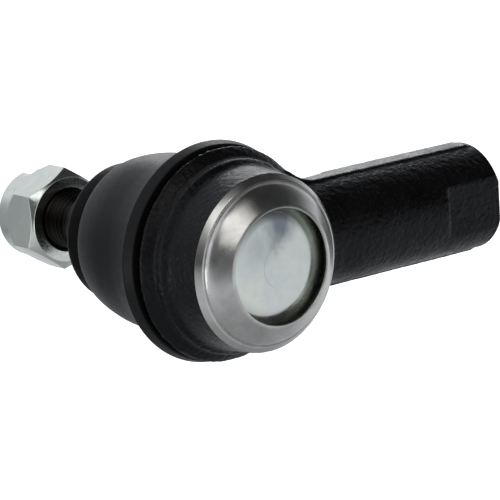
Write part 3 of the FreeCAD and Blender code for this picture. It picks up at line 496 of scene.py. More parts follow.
def turned_lines_group():
    """Fine tool lines round the stud's axis, as height and as a mask."""
    tree, source, sink = new_group(
        "turned_lines",
        [("Vector", "NodeSocketVector", None), ("Lines", "NodeSocketFloat", 9000.0)],
        [("Height", "NodeSocketFloat"), ("Mask", "NodeSocketFloat")])
    flat, parts = without_y(tree, source.outputs["Vector"])
    path = calc(tree, "SUBTRACT", measure(tree, "LENGTH", flat), parts.outputs["Y"])
    lines = add_node(tree, "ShaderNodeTexNoise", {
        "W": path, "Scale": source.outputs["Lines"], "Detail": 3.0,
        "Roughness": 0.7}, noise_dimensions="1D")
    drift = add_node(tree, "ShaderNodeTexNoise", {
        "Vector": source.outputs["Vector"], "Scale": 160.0, "Detail": 2.0})
    tree.links.new(lines.outputs["Fac"], sink.inputs["Height"])
    tree.links.new(drift.outputs["Fac"], sink.inputs["Mask"])
    return tree


def clouds_group():
    """Two soft, uneven masks for painted reflections, plating and handling."""
    tree, source, sink = new_group(
        "clouds",
        [("Vector", "NodeSocketVector", None), ("Scale", "NodeSocketFloat", 200.0)],
        [("Broad", "NodeSocketFloat"), ("Fine", "NodeSocketFloat")])
    broad = add_node(tree, "ShaderNodeTexNoise", {
        "Vector": source.outputs["Vector"], "Scale": source.outputs["Scale"],
        "Detail": 3.0, "Roughness": 0.55, "Distortion": 0.8})
    fine = add_node(tree, "ShaderNodeTexNoise", {
        "Vector": source.outputs["Vector"], "Detail": 3.0,
        "Scale": calc(tree, "MULTIPLY", source.outputs["Scale"], 7.0)})
    tree.links.new(broad.outputs["Fac"], sink.inputs["Broad"])
    tree.links.new(fine.outputs["Fac"], sink.inputs["Fine"])
    return tree


def group_node(tree, group, inputs):
    """An instance of a node group."""
    return add_node(tree, "ShaderNodeGroup", inputs, node_tree=group)


def ramp(tree, value, low, high, first, last):
    """Map a value's range on to another."""
    node = add_node(tree, "ShaderNodeMapRange", {
        "Value": value, "From Min": low, "From Max": high, "To Min": first, "To Max": last})
    return node.outputs["Result"]


def spread(tree, value, low, high):
    """Map the useful range of a noise, 0.3 to 0.7, on to another."""
    return ramp(tree, value, 0.3, 0.7, low, high)


def mixed(tree, factor, first, second):
    """Mix two colours, fixed or linked, by a mask."""
    node = add_node(
        tree, "ShaderNodeMix", {"Factor": factor, "A": first, "B": second}, data_type="RGBA")
    return next(socket for socket in node.outputs if socket.type == "RGBA")


def calc(tree, operation, *values):
    """The result of a Math node."""
    return add_node(tree, "ShaderNodeMath", dict(enumerate(values)), operation=operation).outputs[0]


def measure(tree, operation, *values):
    """The plain value from a Vector Math node, such as a length."""
    node = add_node(tree, "ShaderNodeVectorMath", dict(enumerate(values)), operation=operation)
    return node.outputs["Value"]


def offset_from(tree, place, centre):
    """The way from a point to the place being shaded."""
    return add_node(
        tree, "ShaderNodeVectorMath", {0: place, 1: centre}, operation="SUBTRACT").outputs[0]


def without_y(tree, vector):
    """A vector with its part along the stud's axis taken out, and that part."""
    parts = add_node(tree, "ShaderNodeSeparateXYZ", {0: vector})
    flat = add_node(tree, "ShaderNodeCombineXYZ", {"X": parts.outputs["X"], "Z": parts.outputs["Z"]})
    return flat.outputs[0], parts


def shade(base, factor):
    """A colour made darker or lighter, with its alpha."""
    return tuple(min(1.0, part * factor) for part in base) + (1.0,)


def new_material(name):
    """An empty material with a Principled shader and object coordinates."""
    material = bpy.data.materials.new(name)
    material.use_nodes = True
    tree = material.node_tree
    tree.nodes.clear()
    shader = tree.nodes.new("ShaderNodeBsdfPrincipled")
    output = tree.nodes.new("ShaderNodeOutputMaterial")
    tree.links.new(shader.outputs["BSDF"], output.inputs["Surface"])
    place = tree.nodes.new("ShaderNodeTexCoord").outputs["Object"]
    return material, tree, shader, place


def bump(tree, shader, height, strength, distance):
    """Lead a height to the shader's normal."""
    node = add_node(tree, "ShaderNodeBump", {
        "Height": height, "Strength": strength, "Distance": distance})
    tree.links.new(node.outputs["Normal"], shader.inputs["Normal"])


def clouded(name, groups, scale, dark, light):
    """A new material whose base colour drifts softly between two tones."""
    material, tree, shader, place = new_material(name)
    haze = group_node(tree, groups["clouds"], {"Vector": place, "Scale": scale})
    toned = mixed(tree, spread(tree, haze.outputs["Broad"], 0.0, 1.0), dark, light)
    tree.links.new(toned, shader.inputs["Base Color"])
    return material, tree, shader, place, haze, toned


def lead_roughness(tree, shader, mask, low, high):
    """Let the roughness follow a mask between two values."""
    tree.links.new(spread(tree, mask, low, high), shader.inputs["Roughness"])


def paint_material(name, base, groups, strength, low, high):
    """Semi-gloss black paint over the forged skin."""
    material, tree, shader, place, *_ = clouded(name, groups, 120.0, shade(base, 0.8), shade(base, 1.5))
    skin = group_node(tree, groups["forged_skin"], {"Vector": place, "Scale": 1050.0})
    lead_roughness(tree, shader, skin.outputs["Mask"], low, high)
    shader.inputs["Specular IOR Level"].default_value = 0.17
    bump(tree, shader, skin.outputs["Height"], strength, 0.20 * MM)
    return material


def metal_material(name, base, groups, lines, strength, low, high):
    """Metal with fine tool lines and slightly uneven tone."""
    material, tree, shader, place, *_ = clouded(name, groups, 150.0, shade(base, 0.75), shade(base, 1.06))
    cut = group_node(tree, groups["turned_lines"], {"Vector": place, "Lines": lines})
    shader.inputs["Metallic"].default_value = 1.0
    lead_roughness(tree, shader, cut.outputs["Mask"], low, high)
    bump(tree, shader, cut.outputs["Height"], strength, 0.03 * MM)
    return material


def plating_material(name, base, groups, scale, low, high, dark_reflections=(), scratch=None):
    """Bright zinc plating: cool and a little cloudy, with painted dark reflections and a scratch where
    asked.
    """
    warm = (base[0] * 1.05, base[1] * 1.02, base[2] * 0.95, 1.0)
    material, tree, shader, place, haze, toned = clouded(name, groups, scale, shade(base, 0.94), warm)
    shader.inputs["Metallic"].default_value = 1.0
    lead_roughness(tree, shader, haze.outputs["Fine"], low, high)
    bump(tree, shader, haze.outputs["Broad"], 0.05, 0.05 * MM)
    for dark_reflection in dark_reflections:
        # Painted reflections: dark blue-grey clouds laid into the plating's colour.
        toned = add_dark_reflection(tree, place, haze.outputs["Broad"], toned, *dark_reflection)
    if scratch:
        toned = add_scratch(tree, place, toned, *scratch)
    tree.links.new(toned, shader.inputs["Base Color"])
    return material


def add_dark_reflection(tree, place, uneven, toned, centre, radius, depth):
    """A painted dark reflection: a soft blue-grey cloud in the plating, with an uneven edge."""
    away = measure(tree, "LENGTH", offset_from(tree, place, centre))
    edge = calc(tree, "MULTIPLY_ADD", uneven, -1.3 * radius, away)
    reflection_patch = add_node(tree, "ShaderNodeMapRange", {
        "Value": edge, "From Min": -0.65 * radius, "From Max": 0.30 * radius,
        "To Min": depth, "To Max": 0.0}, interpolation_type="SMOOTHSTEP")
    return mixed(tree, reflection_patch.outputs["Result"], toned, DARK_REFLECTION_TINT)


def add_scratch(tree, place, toned, centre, radius, width, depth):
    """A thin dull arc in the plating, held to one side of its circle."""
    flat, parts = without_y(tree, offset_from(tree, place, centre))
    away = calc(tree, "ABSOLUTE", calc(tree, "SUBTRACT", measure(tree, "LENGTH", flat), radius))
    line = ramp(tree, away, 0.0, width, 1.0, 0.0)
    side = ramp(tree, parts.outputs["X"], -radius * 0.25, -radius * 0.7, 0.0, 1.0)
    shown = calc(tree, "MULTIPLY", line, side)
    return mixed(tree, calc(tree, "MULTIPLY", shown, depth), toned, DULL_BROWN)


def moulded_material(name, base, groups, low, high, strength=0.1, gloss=0.5):
    """Rubber or moulded plastic with a soft, slightly dusty skin."""
    material, tree, shader, _, haze, _ = clouded(name, groups, 130.0, shade(base, 0.88), shade(base, 1.14))
    shader.inputs["Specular IOR Level"].default_value = gloss
    lead_roughness(tree, shader, haze.outputs["Fine"], low, high)
    bump(tree, shader, haze.outputs["Fine"], strength, 0.03 * MM)
    return material


def make_groups():
    """Every shared shader node group, by name."""
    return {
        "forged_skin": forged_skin_group(),
        "turned_lines": turned_lines_group(),
        "clouds": clouds_group(),
    }


def make_materials(tones):
    """Every finish of the part, by name."""
    groups = make_groups()
    scratch = ((1.6 * MM, 0.0, -0.6 * MM), 4.4 * MM, 0.09 * MM, 0.45)
    face_y = COVER[0].y
    # Painted reflections: dark blue-grey clouds on the cover plate's upper half, standing in for the darker
    # surroundings that it reflects.
    dark_reflections = (
        ((1.4 * MM, face_y, 8.2 * MM), 6.5 * MM, 0.80),
        ((-3.6 * MM, face_y, 4.2 * MM), 8.0 * MM, 0.30),
    )
    return {
        "paint": paint_material("black_paint", tones.paint[:], groups, strength=0.85, low=0.20, high=0.38),
        "turned_steel": metal_material(
            "turned_steel", tones.turned_steel[:], groups, lines=7000.0, strength=0.22, low=0.20, high=0.34),
        "cover_zinc": plating_material(
            "cover_zinc", tones.zinc[:], groups, scale=110.0, low=0.18, high=0.26,
            dark_reflections=dark_reflections, scratch=scratch),
        "nut_zinc": plating_material(
            "nut_zinc", tones.zinc[:], groups, scale=220.0, low=0.15, high=0.26),
        "stud": metal_material(
            "stud_steel", tones.stud[:], groups, lines=5000.0, strength=0.2, low=0.32, high=0.46),
        "rubber": moulded_material(
            "boot_rubber", tones.rubber[:], groups, low=0.38, high=0.46, strength=0.12, gloss=0.18),
        "ring": moulded_material(
            "ring_plastic", tones.ring[:], groups, low=0.38, high=0.50, strength=0.10, gloss=0.06),
        "nylon": moulded_material(
            "insert_nylon", tones.nylon[:], groups, low=0.25, high=0.38, strength=0.06),
        "acetal": moulded_material(
            "bearing_acetal", tones.acetal[:], groups, low=0.35, high=0.5, strength=0.08),
        "spring": metal_material(
            "spring_steel", tones.spring[:], groups, lines=6000.0, strength=0.2, low=0.28, high=0.4),
    }


# ------------------------------------------------------------------- operators


def forged_blank(head, shank):
    """The forging before it is machined: drum, flange, spigot, neck, shank and parting web."""
    land = shank.shank_r + shank.land_rise
    far = SHANK_END + OVERCUT
    blend_x = shank.start_x - 4.0 * MM
    blank = turned("forged_body", [
        (0.0, 0.0), (shank.neck_r, 0.0), (shank.neck_r, blend_x), (shank.shank_r, shank.start_x),
        (shank.shank_r, far), (0.0, far)], steps=96, along_x=True)
    relief_top = shank.shank_r + OVERCUT
    combine(blank, turned("relief", [
        (0.0, head.flange_back_y), (shank.boot_relief_r, head.flange_back_y),
        (shank.boot_relief_r + shank.relief_spread, relief_top), (0.0, relief_top)]), "DIFFERENCE")
    combine(blank, parting_web(head, shank, land), "UNION")
    combine(blank, parting_strip(head, shank, land), "UNION")
    for side in (-1, 1):
        near = side * shank.flats_width / 2
        out = side * (shank.shank_r + OVERCUT)
        low = (shank.flats_x, min(near, out), -land)
        high = (far + OVERCUT, max(near, out), land)
        combine(blank, block("flat", low, high), "DIFFERENCE")
    spigot_r = SKIRT_RING[1].x - 1.0 * MM
    combine(blank, turned("head", [
        (0.0, RIM_Y), (head.drum_r, RIM_Y), (head.drum_r, head.shoulder_y),
        (head.drum_back_r, head.drum_back_y, 0.8 * MM), (head.step_r, head.step_y, 0.3 * MM),
        (head.step_r, head.flange_front_y, 0.4 * MM), (head.flange_front_r, head.flange_front_y, 0.2 * MM),
        (FLANGE_R, head.flange_back_y - 0.5 * MM), (FLANGE_R, head.flange_back_y),
        (spigot_r, head.flange_back_y), (spigot_r, head.spigot_end_y),
        (head.nose_r, head.nose_y), (0.0, head.nose_y)]), "UNION")
    return blank


def parting_web(head, shank, land):
    """The thin web in the parting plane, between the flange and the shank."""
    reach = FLANGE_R + shank.web_round
    centre_z = land + shank.web_round
    centre_x = math.sqrt(reach ** 2 - centre_z ** 2)
    touch = Vector((centre_x, 0.0, centre_z)) * (FLANGE_R / reach)
    tangent = Vector((-touch.z, 0.0, touch.x)).normalized()
    run = (touch.z - land) / tangent.z
    corner = touch - tangent * run
    far = SHANK_END - shank.land_end_gap
    bm = bmesh.new()
    verts = []
    for x, z in ((touch.x, touch.z), (corner.x, corner.z), (far, land),
                 (far, -land), (corner.x, -corner.z), (touch.x, -touch.z)):
        verts.append(bm.verts.new((x, head.flange_front_y, z)))
    bm.faces.new(verts)
    for vert in (verts[1], verts[4]):
        bmesh.ops.bevel(
            bm, geom=[vert], offset=run, offset_type="OFFSET", segments=16, profile=0.5,
            affect="VERTICES", material=-1)
    raise_faces(bm, (0, head.flange_back_y - head.flange_front_y, 0))
    return to_object(bm, "web")


def parting_strip(head, shank, land):
    """The wider trimmed strip along the shank, tapered where it leaves the web."""
    half, far = shank.land_half, SHANK_END - shank.land_end_gap
    lead, web_back = shank.start_x - shank.strip_lead, head.flange_back_y
    bm = bmesh.new()
    verts = []
    for x, y in ((lead, -half), (far, -half), (far, half), (shank.start_x + 1.0 * MM, half),
                 (shank.start_x - shank.strip_taper, web_back), (lead, web_back)):
        verts.append(bm.verts.new((x, y, -land)))
    bm.faces.new(verts)
    raise_faces(bm, (0, 0, 2 * land))
    return to_object(bm, "strip")


def head_cutter(head):
    """What the lathe removes from the forging's front and inside."""
    cover_r = COVER[1].x + FIT_GAP
    return turned("cavity", [
        (0.0, RIM_Y - OVERCUT), (FLANGE_R, RIM_Y - OVERCUT), (FLANGE_R, head.paint_y),
        (cover_r, head.paint_y), (cover_r, head.cover_seat_y), (head.bearing_r, head.cover_seat_y),
        (head.bearing_r, head.seat_cone_y), (head.seat_top_r, head.seat_top_y),
        (head.mouth_r, head.mouth_y), (head.mouth_end_r, head.nose_y + FIT_GAP),
        (0.0, head.nose_y + FIT_GAP)])


def shank_end_cutter(shank):
    """What the lathe removes to leave a flat, chamfered end."""
    chamfer = shank.chamfer
    edge = shank.shank_r + shank.land_rise
    return turned("end_cutter", [
        (0.0, SHANK_END), (edge - chamfer, SHANK_END), (edge + OVERCUT, SHANK_END - chamfer - OVERCUT),
        (edge + OVERCUT, SHANK_END + 3 * OVERCUT), (0.0, SHANK_END + 3 * OVERCUT)], along_x=True)


def shank_bore_cutter(shank):
    """The tapped hole in the shank: drill point, minor bore, thread and countersunk mouth."""
    bottom = SHANK_END - shank.drill_depth
    mouth = shank.mouth_r - shank.thread_minor_r
    cutter = turned("drill", [
        (0.0, bottom), (shank.thread_minor_r, bottom + shank.thread_minor_r / 2),
        (shank.thread_minor_r, SHANK_END - mouth), (shank.mouth_r, SHANK_END),
        (shank.mouth_r, SHANK_END + OVERCUT), (0.0, SHANK_END + OVERCUT)], steps=96, along_x=True)
    tap = thread("tap", shank.thread_major_r, shank.thread_minor_r - 0.1 * MM, shank.thread_pitch,
                 SHANK_END - shank.thread_depth, SHANK_END + OVERCUT / 2, along_x=True)
    return combine(cutter, tap, "UNION")


class RODEND_OT_forging(bpy.types.Operator):
    """Forge the head and shank, then machine the cavity, the end and the tapped hole"""

    bl_idname = "rodend.forging"
    bl_label = "Forged Body"

    def execute(self, context):
        head, shank = context.scene.rodend_head, context.scene.rodend_shank
        body = forged_blank(head, shank)
        modifier = body.modifiers.new("grain", "REMESH")
        modifier.mode = "VOXEL"
        modifier.voxel_size = head.voxel
        modifier.adaptivity = 0.0
        settle(body)
        inner_r, outer_r = head.drum_r - 1.0 * MM, shank.boot_relief_r + 2.0 * MM
        neck_x, spigot_x = 10.0 * MM, 20.0 * MM

        def at_neck(point):
            """Where the drum runs into the neck."""
            return (head.paint_y - OVERCUT < point.y < head.flange_front_y - 0.5 * MM
                    and inner_r < math.hypot(point.x, point.z) < outer_r and point.x > neck_x)

        soften(body, 40, 0.5, at_neck)
        soften(body, 2, 0.5)

        def skin(point):
            """Full on the forged outside, none on the turned spigot and nose."""
            if point.y > head.flange_back_y and point.x < spigot_x:
                return 0.0
            return 1.0

        hammer(body, 0.16 * MM, 1.1 * MM, skin)
        combine(body, head_cutter(head), "DIFFERENCE", "MANIFOLD")
        combine(body, shank_end_cutter(shank), "DIFFERENCE", "MANIFOLD")
        combine(body, shank_bore_cutter(shank), "DIFFERENCE", "MANIFOLD")
        finish(body, "head", "forging_paint", "housing")
        return {"FINISHED"}


class RODEND_OT_lip(bpy.types.Operator):
    """Turn the bare shoulder and the lip that is swaged over the cover plate"""

    bl_idname = "rodend.lip"
    bl_label = "Swaged Lip"

    def execute(self, context):
        head = context.scene.rodend_head
        inner = COVER[1].x + FIT_GAP
        lip = turned("swaged_lip", [
            (inner, head.paint_y),
            (head.drum_r - 0.02 * MM, head.paint_y),
            (head.drum_r - 0.06 * MM, head.shoulder_y + head.edge_w, 0.25 * MM),
            (head.drum_r - head.edge_w, head.shoulder_y + 0.05 * MM, 0.25 * MM),
            (head.lip_base_r + 0.2 * MM, head.shoulder_y, 0.15 * MM),
            (head.lip_base_r - 0.1 * MM, head.shoulder_y + 0.25 * MM, 0.1 * MM),
            (head.lip_base_r - 0.3 * MM, head.shoulder_y - 0.5 * MM, 0.3 * MM),
            (head.lip_bend_r, head.lip_bend_y, 1.0 * MM),
            (head.rim_outer_r, RIM_Y + 0.12 * MM, 0.35 * MM),
            (head.rim_r + 0.08 * MM, RIM_Y, 0.08 * MM),
            (head.rim_r, RIM_Y + 0.35 * MM, 0.12 * MM),
            (head.rim_r + 1.25 * MM, COVER[0].y - 0.05 * MM),
            (inner, head.cover_margin_y - 0.03 * MM),
        ], closed=True, steps=192, round_steps=8)
        finish(lip, "head", "stud_steel", "housing")
        return {"FINISHED"}


class RODEND_OT_cover(bpy.types.Operator):
    """Press the zinc-plated cover plate that the lip holds"""

    bl_idname = "rodend.cover"
    bl_label = "Cover Plate"

    def execute(self, context):
        head = context.scene.rodend_head
        cover_r, face_y = COVER[1].x, COVER[0].y
        under_y = face_y + head.plate_t
        cover = turned("pressed_cover", [
            (0.0, face_y), (head.rim_r - 0.7 * MM, face_y, 2.3 * MM),
            (cover_r, head.cover_margin_y), (cover_r, head.cover_seat_y),
            (cover_r - 1.75 * MM, head.cover_seat_y), (cover_r - 2.95 * MM, under_y, 0.4 * MM),
            (0.0, under_y)], steps=192, round_steps=12)
        finish(cover, "head", "zinc_plate", "cover_plate")
        return {"FINISHED"}


class RODEND_OT_boot(bpy.types.Operator):
    """Mould the rubber boot, which runs between its skirt and the seal ring"""

    bl_idname = "rodend.boot"
    bl_label = "Rubber Boot"

    def execute(self, context):
        size = context.scene.rodend_boot
        ring_r = SKIRT_RING[1].x + FIT_GAP
        front, lip = BOOT[0].y, BOOT[1].y
        wall = size.wall
        boot = turned("rubber_boot", [
            (ring_r, front),
            (size.skirt_front_r, front, 0.25 * MM),
            (BOOT[1].x, size.skirt_end_y, 0.35 * MM),
            (size.root_r, size.root_y, 1.0 * MM),
            (size.waist_r, size.waist_y, 4.2 * MM),
            (size.side_r, size.side_y, 4.0 * MM),
            (size.shoulder_r, size.shoulder_y, 1.8 * MM),
            (size.shoulder_r - wall, lip, 0.6 * MM),
            (size.bead_r, lip, 0.2 * MM),
            (size.bead_r, size.bead_y, 0.3 * MM),
            (size.side_r - wall * 2, size.bead_y - 0.6 * MM, 1.0 * MM),
            (size.side_r - wall, size.side_y - 0.5 * MM, 2.0 * MM),
            (size.waist_r - wall, size.waist_y, 2.0 * MM),
            (size.root_r - wall / 2, size.root_y + 0.35 * MM, 0.5 * MM),
            (ring_r, size.skirt_end_y),
        ], closed=True, steps=144, round_steps=8)
        split_long_rings(boot, 0.9 * MM)
        finish(boot, None, "boot_rubber", "dust_boot")
        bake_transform(boot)
        return {"FINISHED"}


def split_long_rings(piece, spacing):
    """Cut a turned wall with planes square to the stud, so that it can bend."""
    bm = bmesh.new()
    bm.from_mesh(piece.data)
    low = min(vert.co.y for vert in bm.verts)
    high = max(vert.co.y for vert in bm.verts)
    count = math.ceil((high - low) / spacing)
    for step in range(1, count):
        bmesh.ops.bisect_plane(
            bm, geom=bm.verts[:] + bm.edges[:] + bm.faces[:], dist=MERGE,
            plane_co=(0, low + (high - low) * step / count, 0), plane_no=(0, 1, 0))
    bm.to_mesh(piece.data)
    bm.free()


class RODEND_OT_ring(bpy.types.Operator):
    """Mould the ring in the boot's small end"""

    bl_idname = "rodend.ring"
    bl_label = "Seal Ring"

    def execute(self, context):
        size = context.scene.rodend_boot
        collar_r, end, start = SEAL_RING[1].x, SEAL_RING[1].y, SEAL_RING[0].y
        hub_r, bore_r = size.ring_hub_r, size.ring_bore_r
        flange_r, flange_y = hub_r + size.ring_flange, start + size.ring_flange
        groove_y = end - size.ring_groove
        ring = turned("seal_ring", [
            (bore_r, start, 0.2 * MM), (hub_r, start, 0.3 * MM),
            (flange_r, start + size.ring_flange / 2, 0.15 * MM), (flange_r, flange_y),
            (hub_r, flange_y), (hub_r, size.ring_collar_y),
            (collar_r, size.ring_collar_y, 0.45 * MM), (collar_r, end - 1.0 * MM, 0.5 * MM),
            (collar_r - 0.6 * MM, end, 0.35 * MM), (bore_r + 3.2 * MM, end, 0.3 * MM),
            (bore_r + 2.6 * MM, groove_y, 0.3 * MM), (bore_r + 0.6 * MM, groove_y, 0.2 * MM),
            (bore_r + 0.6 * MM, end, 0.1 * MM), (bore_r, end, 0.1 * MM),
        ], closed=True)
        finish(ring, "boot_collar", "seal_ring_black", "boot_seal_ring")
        return {"FINISHED"}


class RODEND_OT_stud(bpy.types.Operator):
    """Turn the ball stud and roll its thread"""

    bl_idname = "rodend.stud"
    bl_label = "Ball Stud"

    def execute(self, context):
        size = context.scene.rodend_stud
        end = STUD[1].y
        root = size.thread_minor_r
        shaft = turned("threaded_stud", [
            (0.0, 0.0), (size.neck_r, 0.0), (size.neck_r, size.neck_end_y, 2.0 * MM),
            (size.journal_r, size.journal_y, 1.0 * MM), (size.journal_r, size.taper_y, 0.2 * MM),
            (size.taper_end_r, size.taper_end_y, 0.2 * MM),
            (size.relief_r, size.taper_end_y + 0.35 * MM, 0.2 * MM),
            (size.relief_r, size.thread_y + OVERCUT), (0.0, size.thread_y + OVERCUT)], steps=96)
        ball = sphere("ball", STUD[1].x)
        flat_y = -math.sqrt(STUD[1].x ** 2 - size.flat_r ** 2)
        half = size.flat_r + OVERCUT
        below = block("flat", (-half, -STUD[1].x - OVERCUT, -half), (half, flat_y, half))
        combine(ball, below, "DIFFERENCE")
        combine(shaft, ball, "UNION")
        run_in = size.thread_y - 0.4 * MM
        rolled = thread("rolled", size.thread_major_r, root, size.thread_pitch, run_in, end)
        combine(rolled, turned("envelope", [
            (0.0, size.thread_y - OVERCUT), (root - 0.2 * MM, run_in),
            (size.thread_major_r + 0.2 * MM, size.thread_y + 0.8 * MM),
            (size.thread_major_r + 0.2 * MM, end - size.end_chamfer),
            (size.thread_major_r - size.end_chamfer, end), (0.0, end)], steps=96), "INTERSECT")
        combine(shaft, rolled, "UNION")
        finish(shaft, "stud", "stud_steel", "ball_stud")
        return {"FINISHED"}


def sphere(name, radius):
    """A fine ball about the origin."""
    bm = bmesh.new()
    bmesh.ops.create_uvsphere(bm, u_segments=96, v_segments=64, radius=radius)
    return to_object(bm, name)


class RODEND_OT_nut(bpy.types.Operator):
    """Make the hexagon nut, its crimped collar, its thread and its locking insert"""

    bl_idname = "rodend.nut"
    bl_label = "Lock Nut"

    def execute(self, context):
        size = context.scene.rodend_stud
        start, end = NUT[0].y, NUT[1].y
        hex_end = start + size.nut_hex_h
        nut = hexagon(size, start, hex_end)
        wide = size.nut_flats / math.sqrt(3) + OVERCUT
        drop = (wide - size.nut_face_r) * math.tan(CORNER_SLOPE)
        cone = start + size.nut_face_rise
        fall = (wide - size.collar_r) * math.tan(SHOULDER_SLOPE)
        combine(nut, turned("corners", [
            (0.0, start), (size.nut_face_r, start), (size.nut_face_r, cone), (wide, cone + drop),
            (wide, hex_end - fall), (size.collar_r - 0.02 * MM, hex_end), (0.0, hex_end)]), "INTERSECT")
        combine(nut, turned("collar", [
            (0.0, hex_end - OVERCUT), (size.collar_r, hex_end - OVERCUT),
            (size.collar_r, end, 2.0 * MM), (size.collar_lip_r - 0.5 * MM, end),
            (0.0, end)], round_steps=10), "UNION")
        edge = nut.modifiers.new("edges", "BEVEL")
        edge.width = 0.16 * MM
        edge.segments = 3
        edge.limit_method = "ANGLE"
        edge.angle_limit = math.radians(22)
        settle(nut)
        combine(nut, self.bore(size, start, end), "DIFFERENCE")
        finish(nut, "nut", "zinc_plate", "lock_nut")
        low, high = INSERT[0].y, INSERT[1].y
        insert = turned("locking_insert", [
            (size.insert_bore_r, low), (size.insert_r, low), (size.insert_r, high),
            (size.insert_bore_r, high, 0.35 * MM)], closed=True)
        finish(insert, "insert", "insert_nylon", "nut_insert")
        return {"FINISHED"}

    def bore(self, size, start, end):
        """Countersink, minor bore, thread, room for the insert and the collar's opening."""
        room_r = size.insert_r + FIT_GAP
        low, high = INSERT[0].y - FIT_GAP, INSERT[1].y + FIT_GAP
        cutter = turned("bore", [
            (0.0, start - OVERCUT), (size.nut_mouth_r, start - OVERCUT), (size.nut_mouth_r, start),
            (size.nut_bore_r, start + size.nut_mouth_r - size.nut_bore_r), (size.nut_bore_r, low),
            (room_r, low), (room_r, high), (size.collar_lip_r, high),
            (size.collar_lip_r, end + OVERCUT), (0.0, end + OVERCUT)], steps=96)
        tap = thread("tap", size.thread_major_r + size.thread_gap, size.nut_bore_r - 0.1 * MM,
                     size.thread_pitch, start - OVERCUT / 2, low + OVERCUT / 4,
                     flank_gap=size.thread_gap)
        return combine(cutter, tap, "UNION")


def hexagon(size, start, end):
    """A plain hexagonal prism about the stud's axis."""
    bm = bmesh.new()
    corner_r = size.nut_flats / math.sqrt(3)
    bmesh.ops.create_circle(bm, cap_ends=True, segments=6, radius=corner_r)
    upright = Matrix.Rotation(size.nut_turn, 4, "Y") @ Matrix.Rotation(-math.pi / 2, 4, "X")
    place = Matrix.Translation((0, start, 0)) @ upright
    bmesh.ops.transform(bm, matrix=place, verts=bm.verts[:])
    raise_faces(bm, (0, end - start, 0))
    return to_object(bm, "hexagon_nut")


class RODEND_OT_finishes(bpy.types.Operator):
    """Make every finish and give it to its pieces and its inner parts"""

    bl_idname = "rodend.finishes"
    bl_label = "Finishes"

    def execute(self, context):
        finishes = make_materials(context.scene.rodend_finishes)
        for name, finish_name in (
                ("forged_body", "paint"), ("swaged_lip", "turned_steel"), ("pressed_cover", "cover_zinc"),
                ("rubber_boot", "rubber"), ("seal_ring", "ring"), ("threaded_stud", "stud"),
                ("hexagon_nut", "nut_zinc"), ("locking_insert", "nylon"),
                ("lower_bearing", "acetal"), ("upper_bearing", "acetal"),
                ("preload_spring", "spring"), ("boot_skirt_ring", "spring")):
            paint(bpy.data.objects[name], finishes[finish_name])
        return {"FINISHED"}


class RODEND_OT_stage(bpy.types.Operator):
    """Set the floor, the lights and the camera"""

    bl_idname = "rodend.stage"
    bl_label = "Stage"

    def execute(self, context):
        stage = context.scene.rodend_stage
        context.scene.view_settings.view_transform = "Standard"
        make_floor(stage)
        make_world(context, stage)
        make_lights()
        make_camera(context, stage)
        return {"FINISHED"}


def make_floor(stage):
    """A plain pale floor well below the part."""
    bm = bmesh.new()
    bmesh.ops.create_grid(bm, x_segments=1, y_segments=1, size=stage.floor_size / 2)
    bmesh.ops.translate(bm, vec=(0, 0, CAD_BOX[0].z - stage.floor_drop), verts=bm.verts[:])
    floor = to_object(bm, "floor")
    material, tree, shader, place = new_material("floor")
    shader.inputs["Base Color"].default_value = stage.floor_tint[:] + (1.0,)
    shader.inputs["Roughness"].default_value = 0.9
    shader.inputs["Emission Color"].default_value = stage.floor_tint[:] + (1.0,)
    shader.inputs["Emission Strength"].default_value = 0.95
    floor.visible_glossy = False
    floor.visible_diffuse = False
    paint(floor, material)


def reach(tree, place, towards, low, high, first, last):
    """A ramp over how closely a direction points towards another."""
    return ramp(tree, measure(tree, "DOT_PRODUCT", place, towards), low, high, first, last)


def make_world(context, stage):
    """Soft light all round, dim overhead, behind the camera and low on the left, bright behind."""
    world = bpy.data.worlds.new("studio")
    world.use_nodes = True
    tree = world.node_tree
    tree.nodes.clear()
    place = tree.nodes.new("ShaderNodeTexCoord").outputs["Generated"]
    parts = add_node(tree, "ShaderNodeSeparateXYZ", {0: place})
    strength = reach(tree, place, *CEILING)
    for share in (ramp(tree, parts.outputs["Z"], *GROUND_FALL),
                  reach(tree, place, *CAMERA_GAP), reach(tree, place, *LOW_LEFT)):
        strength = calc(tree, "MULTIPLY", strength, share)
    strength = calc(tree, "MAXIMUM", strength, reach(tree, place, *BACKDROP))
    light = add_node(tree, "ShaderNodeBackground", {
        "Color": stage.world_tint[:] + (1.0,), "Strength": strength})
    white = add_node(tree, "ShaderNodeBackground", {"Color": (1.0, 1.0, 1.0, 1.0), "Strength": 1.0})
    ray = tree.nodes.new("ShaderNodeLightPath")
    shown = tree.nodes.new("ShaderNodeMixShader")
    tree.links.new(ray.outputs["Is Camera Ray"], shown.inputs[0])
    tree.links.new(light.outputs[0], shown.inputs[1])
    tree.links.new(white.outputs[0], shown.inputs[2])
    output = tree.nodes.new("ShaderNodeOutputWorld")
    tree.links.new(shown.outputs[0], output.inputs["Surface"])
    context.scene.world = world


def make_lights():
    """Soft boxes above the camera, high at the back and low on the left, facing the part."""
    for name, place, side, radiance in SOFT_BOXES:
        data = bpy.data.lights.new(name, "AREA")
        data.shape = "SQUARE"
        data.size = side
        data.energy = radiance * math.pi * side ** 2
        lamp = bpy.data.objects.new(name, data)
        lamp.location = place
        lamp.rotation_euler = (-Vector(place)).to_track_quat("-Z", "Y").to_euler()
        bpy.context.scene.collection.objects.link(lamp)


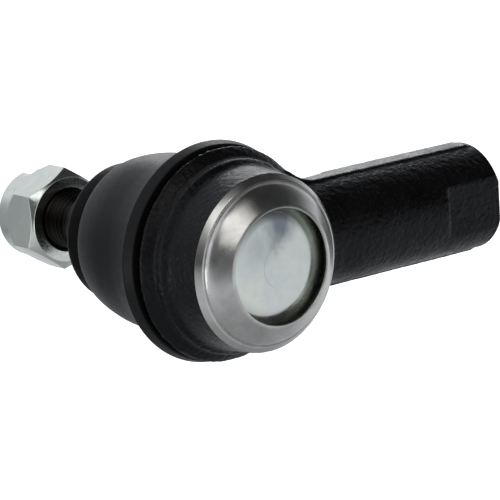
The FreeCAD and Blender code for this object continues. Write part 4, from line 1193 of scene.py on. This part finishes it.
def make_camera(context, stage):
    """A long lens on the part, from its front left and a little above."""
    azimuth, elevation = stage.azimuth, stage.elevation
    back = Vector((math.sin(azimuth) * math.cos(elevation),
                   -math.cos(azimuth) * math.cos(elevation), math.sin(elevation)))
    data = bpy.data.cameras.new("camera")
    data.lens = stage.lens
    data.clip_start, data.clip_end = CLIP_RANGE
    camera = bpy.data.objects.new("camera", data)
    level = (-back).to_track_quat("-Z", "Y").to_matrix().to_4x4()
    rolled = level @ Matrix.Rotation(stage.roll, 4, "Z")
    camera.matrix_world = Matrix.Translation(Vector(stage.aim) + back * stage.distance) @ rolled
    context.scene.collection.objects.link(camera)
    context.scene.camera = camera


class RODEND_PT_panel(bpy.types.Panel):
    """The steps that build the tie rod end"""

    bl_idname = "RODEND_PT_panel"
    bl_label = "Tie Rod End"
    bl_space_type = "VIEW_3D"
    bl_region_type = "UI"
    bl_category = "Tie Rod End"

    def draw(self, context):
        for step in STEPS:
            self.layout.operator(step.bl_idname)


STEPS = (
    RODEND_OT_forging,
    RODEND_OT_lip,
    RODEND_OT_cover,
    RODEND_OT_boot,
    RODEND_OT_ring,
    RODEND_OT_stud,
    RODEND_OT_nut,
    RODEND_OT_finishes,
    RODEND_OT_stage,
)
SETTINGS = {
    "rodend_head": HeadSizes,
    "rodend_shank": ShankSizes,
    "rodend_boot": BootSizes,
    "rodend_stud": StudSizes,
    "rodend_finishes": Finishes,
    "rodend_stage": StageSettings,
}


def register():
    for group in SETTINGS.values():
        bpy.utils.register_class(group)
    for name, group in SETTINGS.items():
        setattr(bpy.types.Scene, name, bpy.props.PointerProperty(type=group))
    for step in STEPS:
        bpy.utils.register_class(step)
    bpy.utils.register_class(RODEND_PT_panel)


def unregister():
    bpy.utils.unregister_class(RODEND_PT_panel)
    for step in reversed(STEPS):
        bpy.utils.unregister_class(step)
    for name, group in SETTINGS.items():
        delattr(bpy.types.Scene, name)
        bpy.utils.unregister_class(group)


def main():
    register()
    bpy.ops.rodend.forging()
    bpy.ops.rodend.lip()
    bpy.ops.rodend.cover()
    bpy.ops.rodend.boot()
    bpy.ops.rodend.ring()
    bpy.ops.rodend.stud()
    bpy.ops.rodend.nut()
    bpy.ops.rodend.finishes()
    bpy.ops.rodend.stage()


if __name__ == "__main__":
    main()
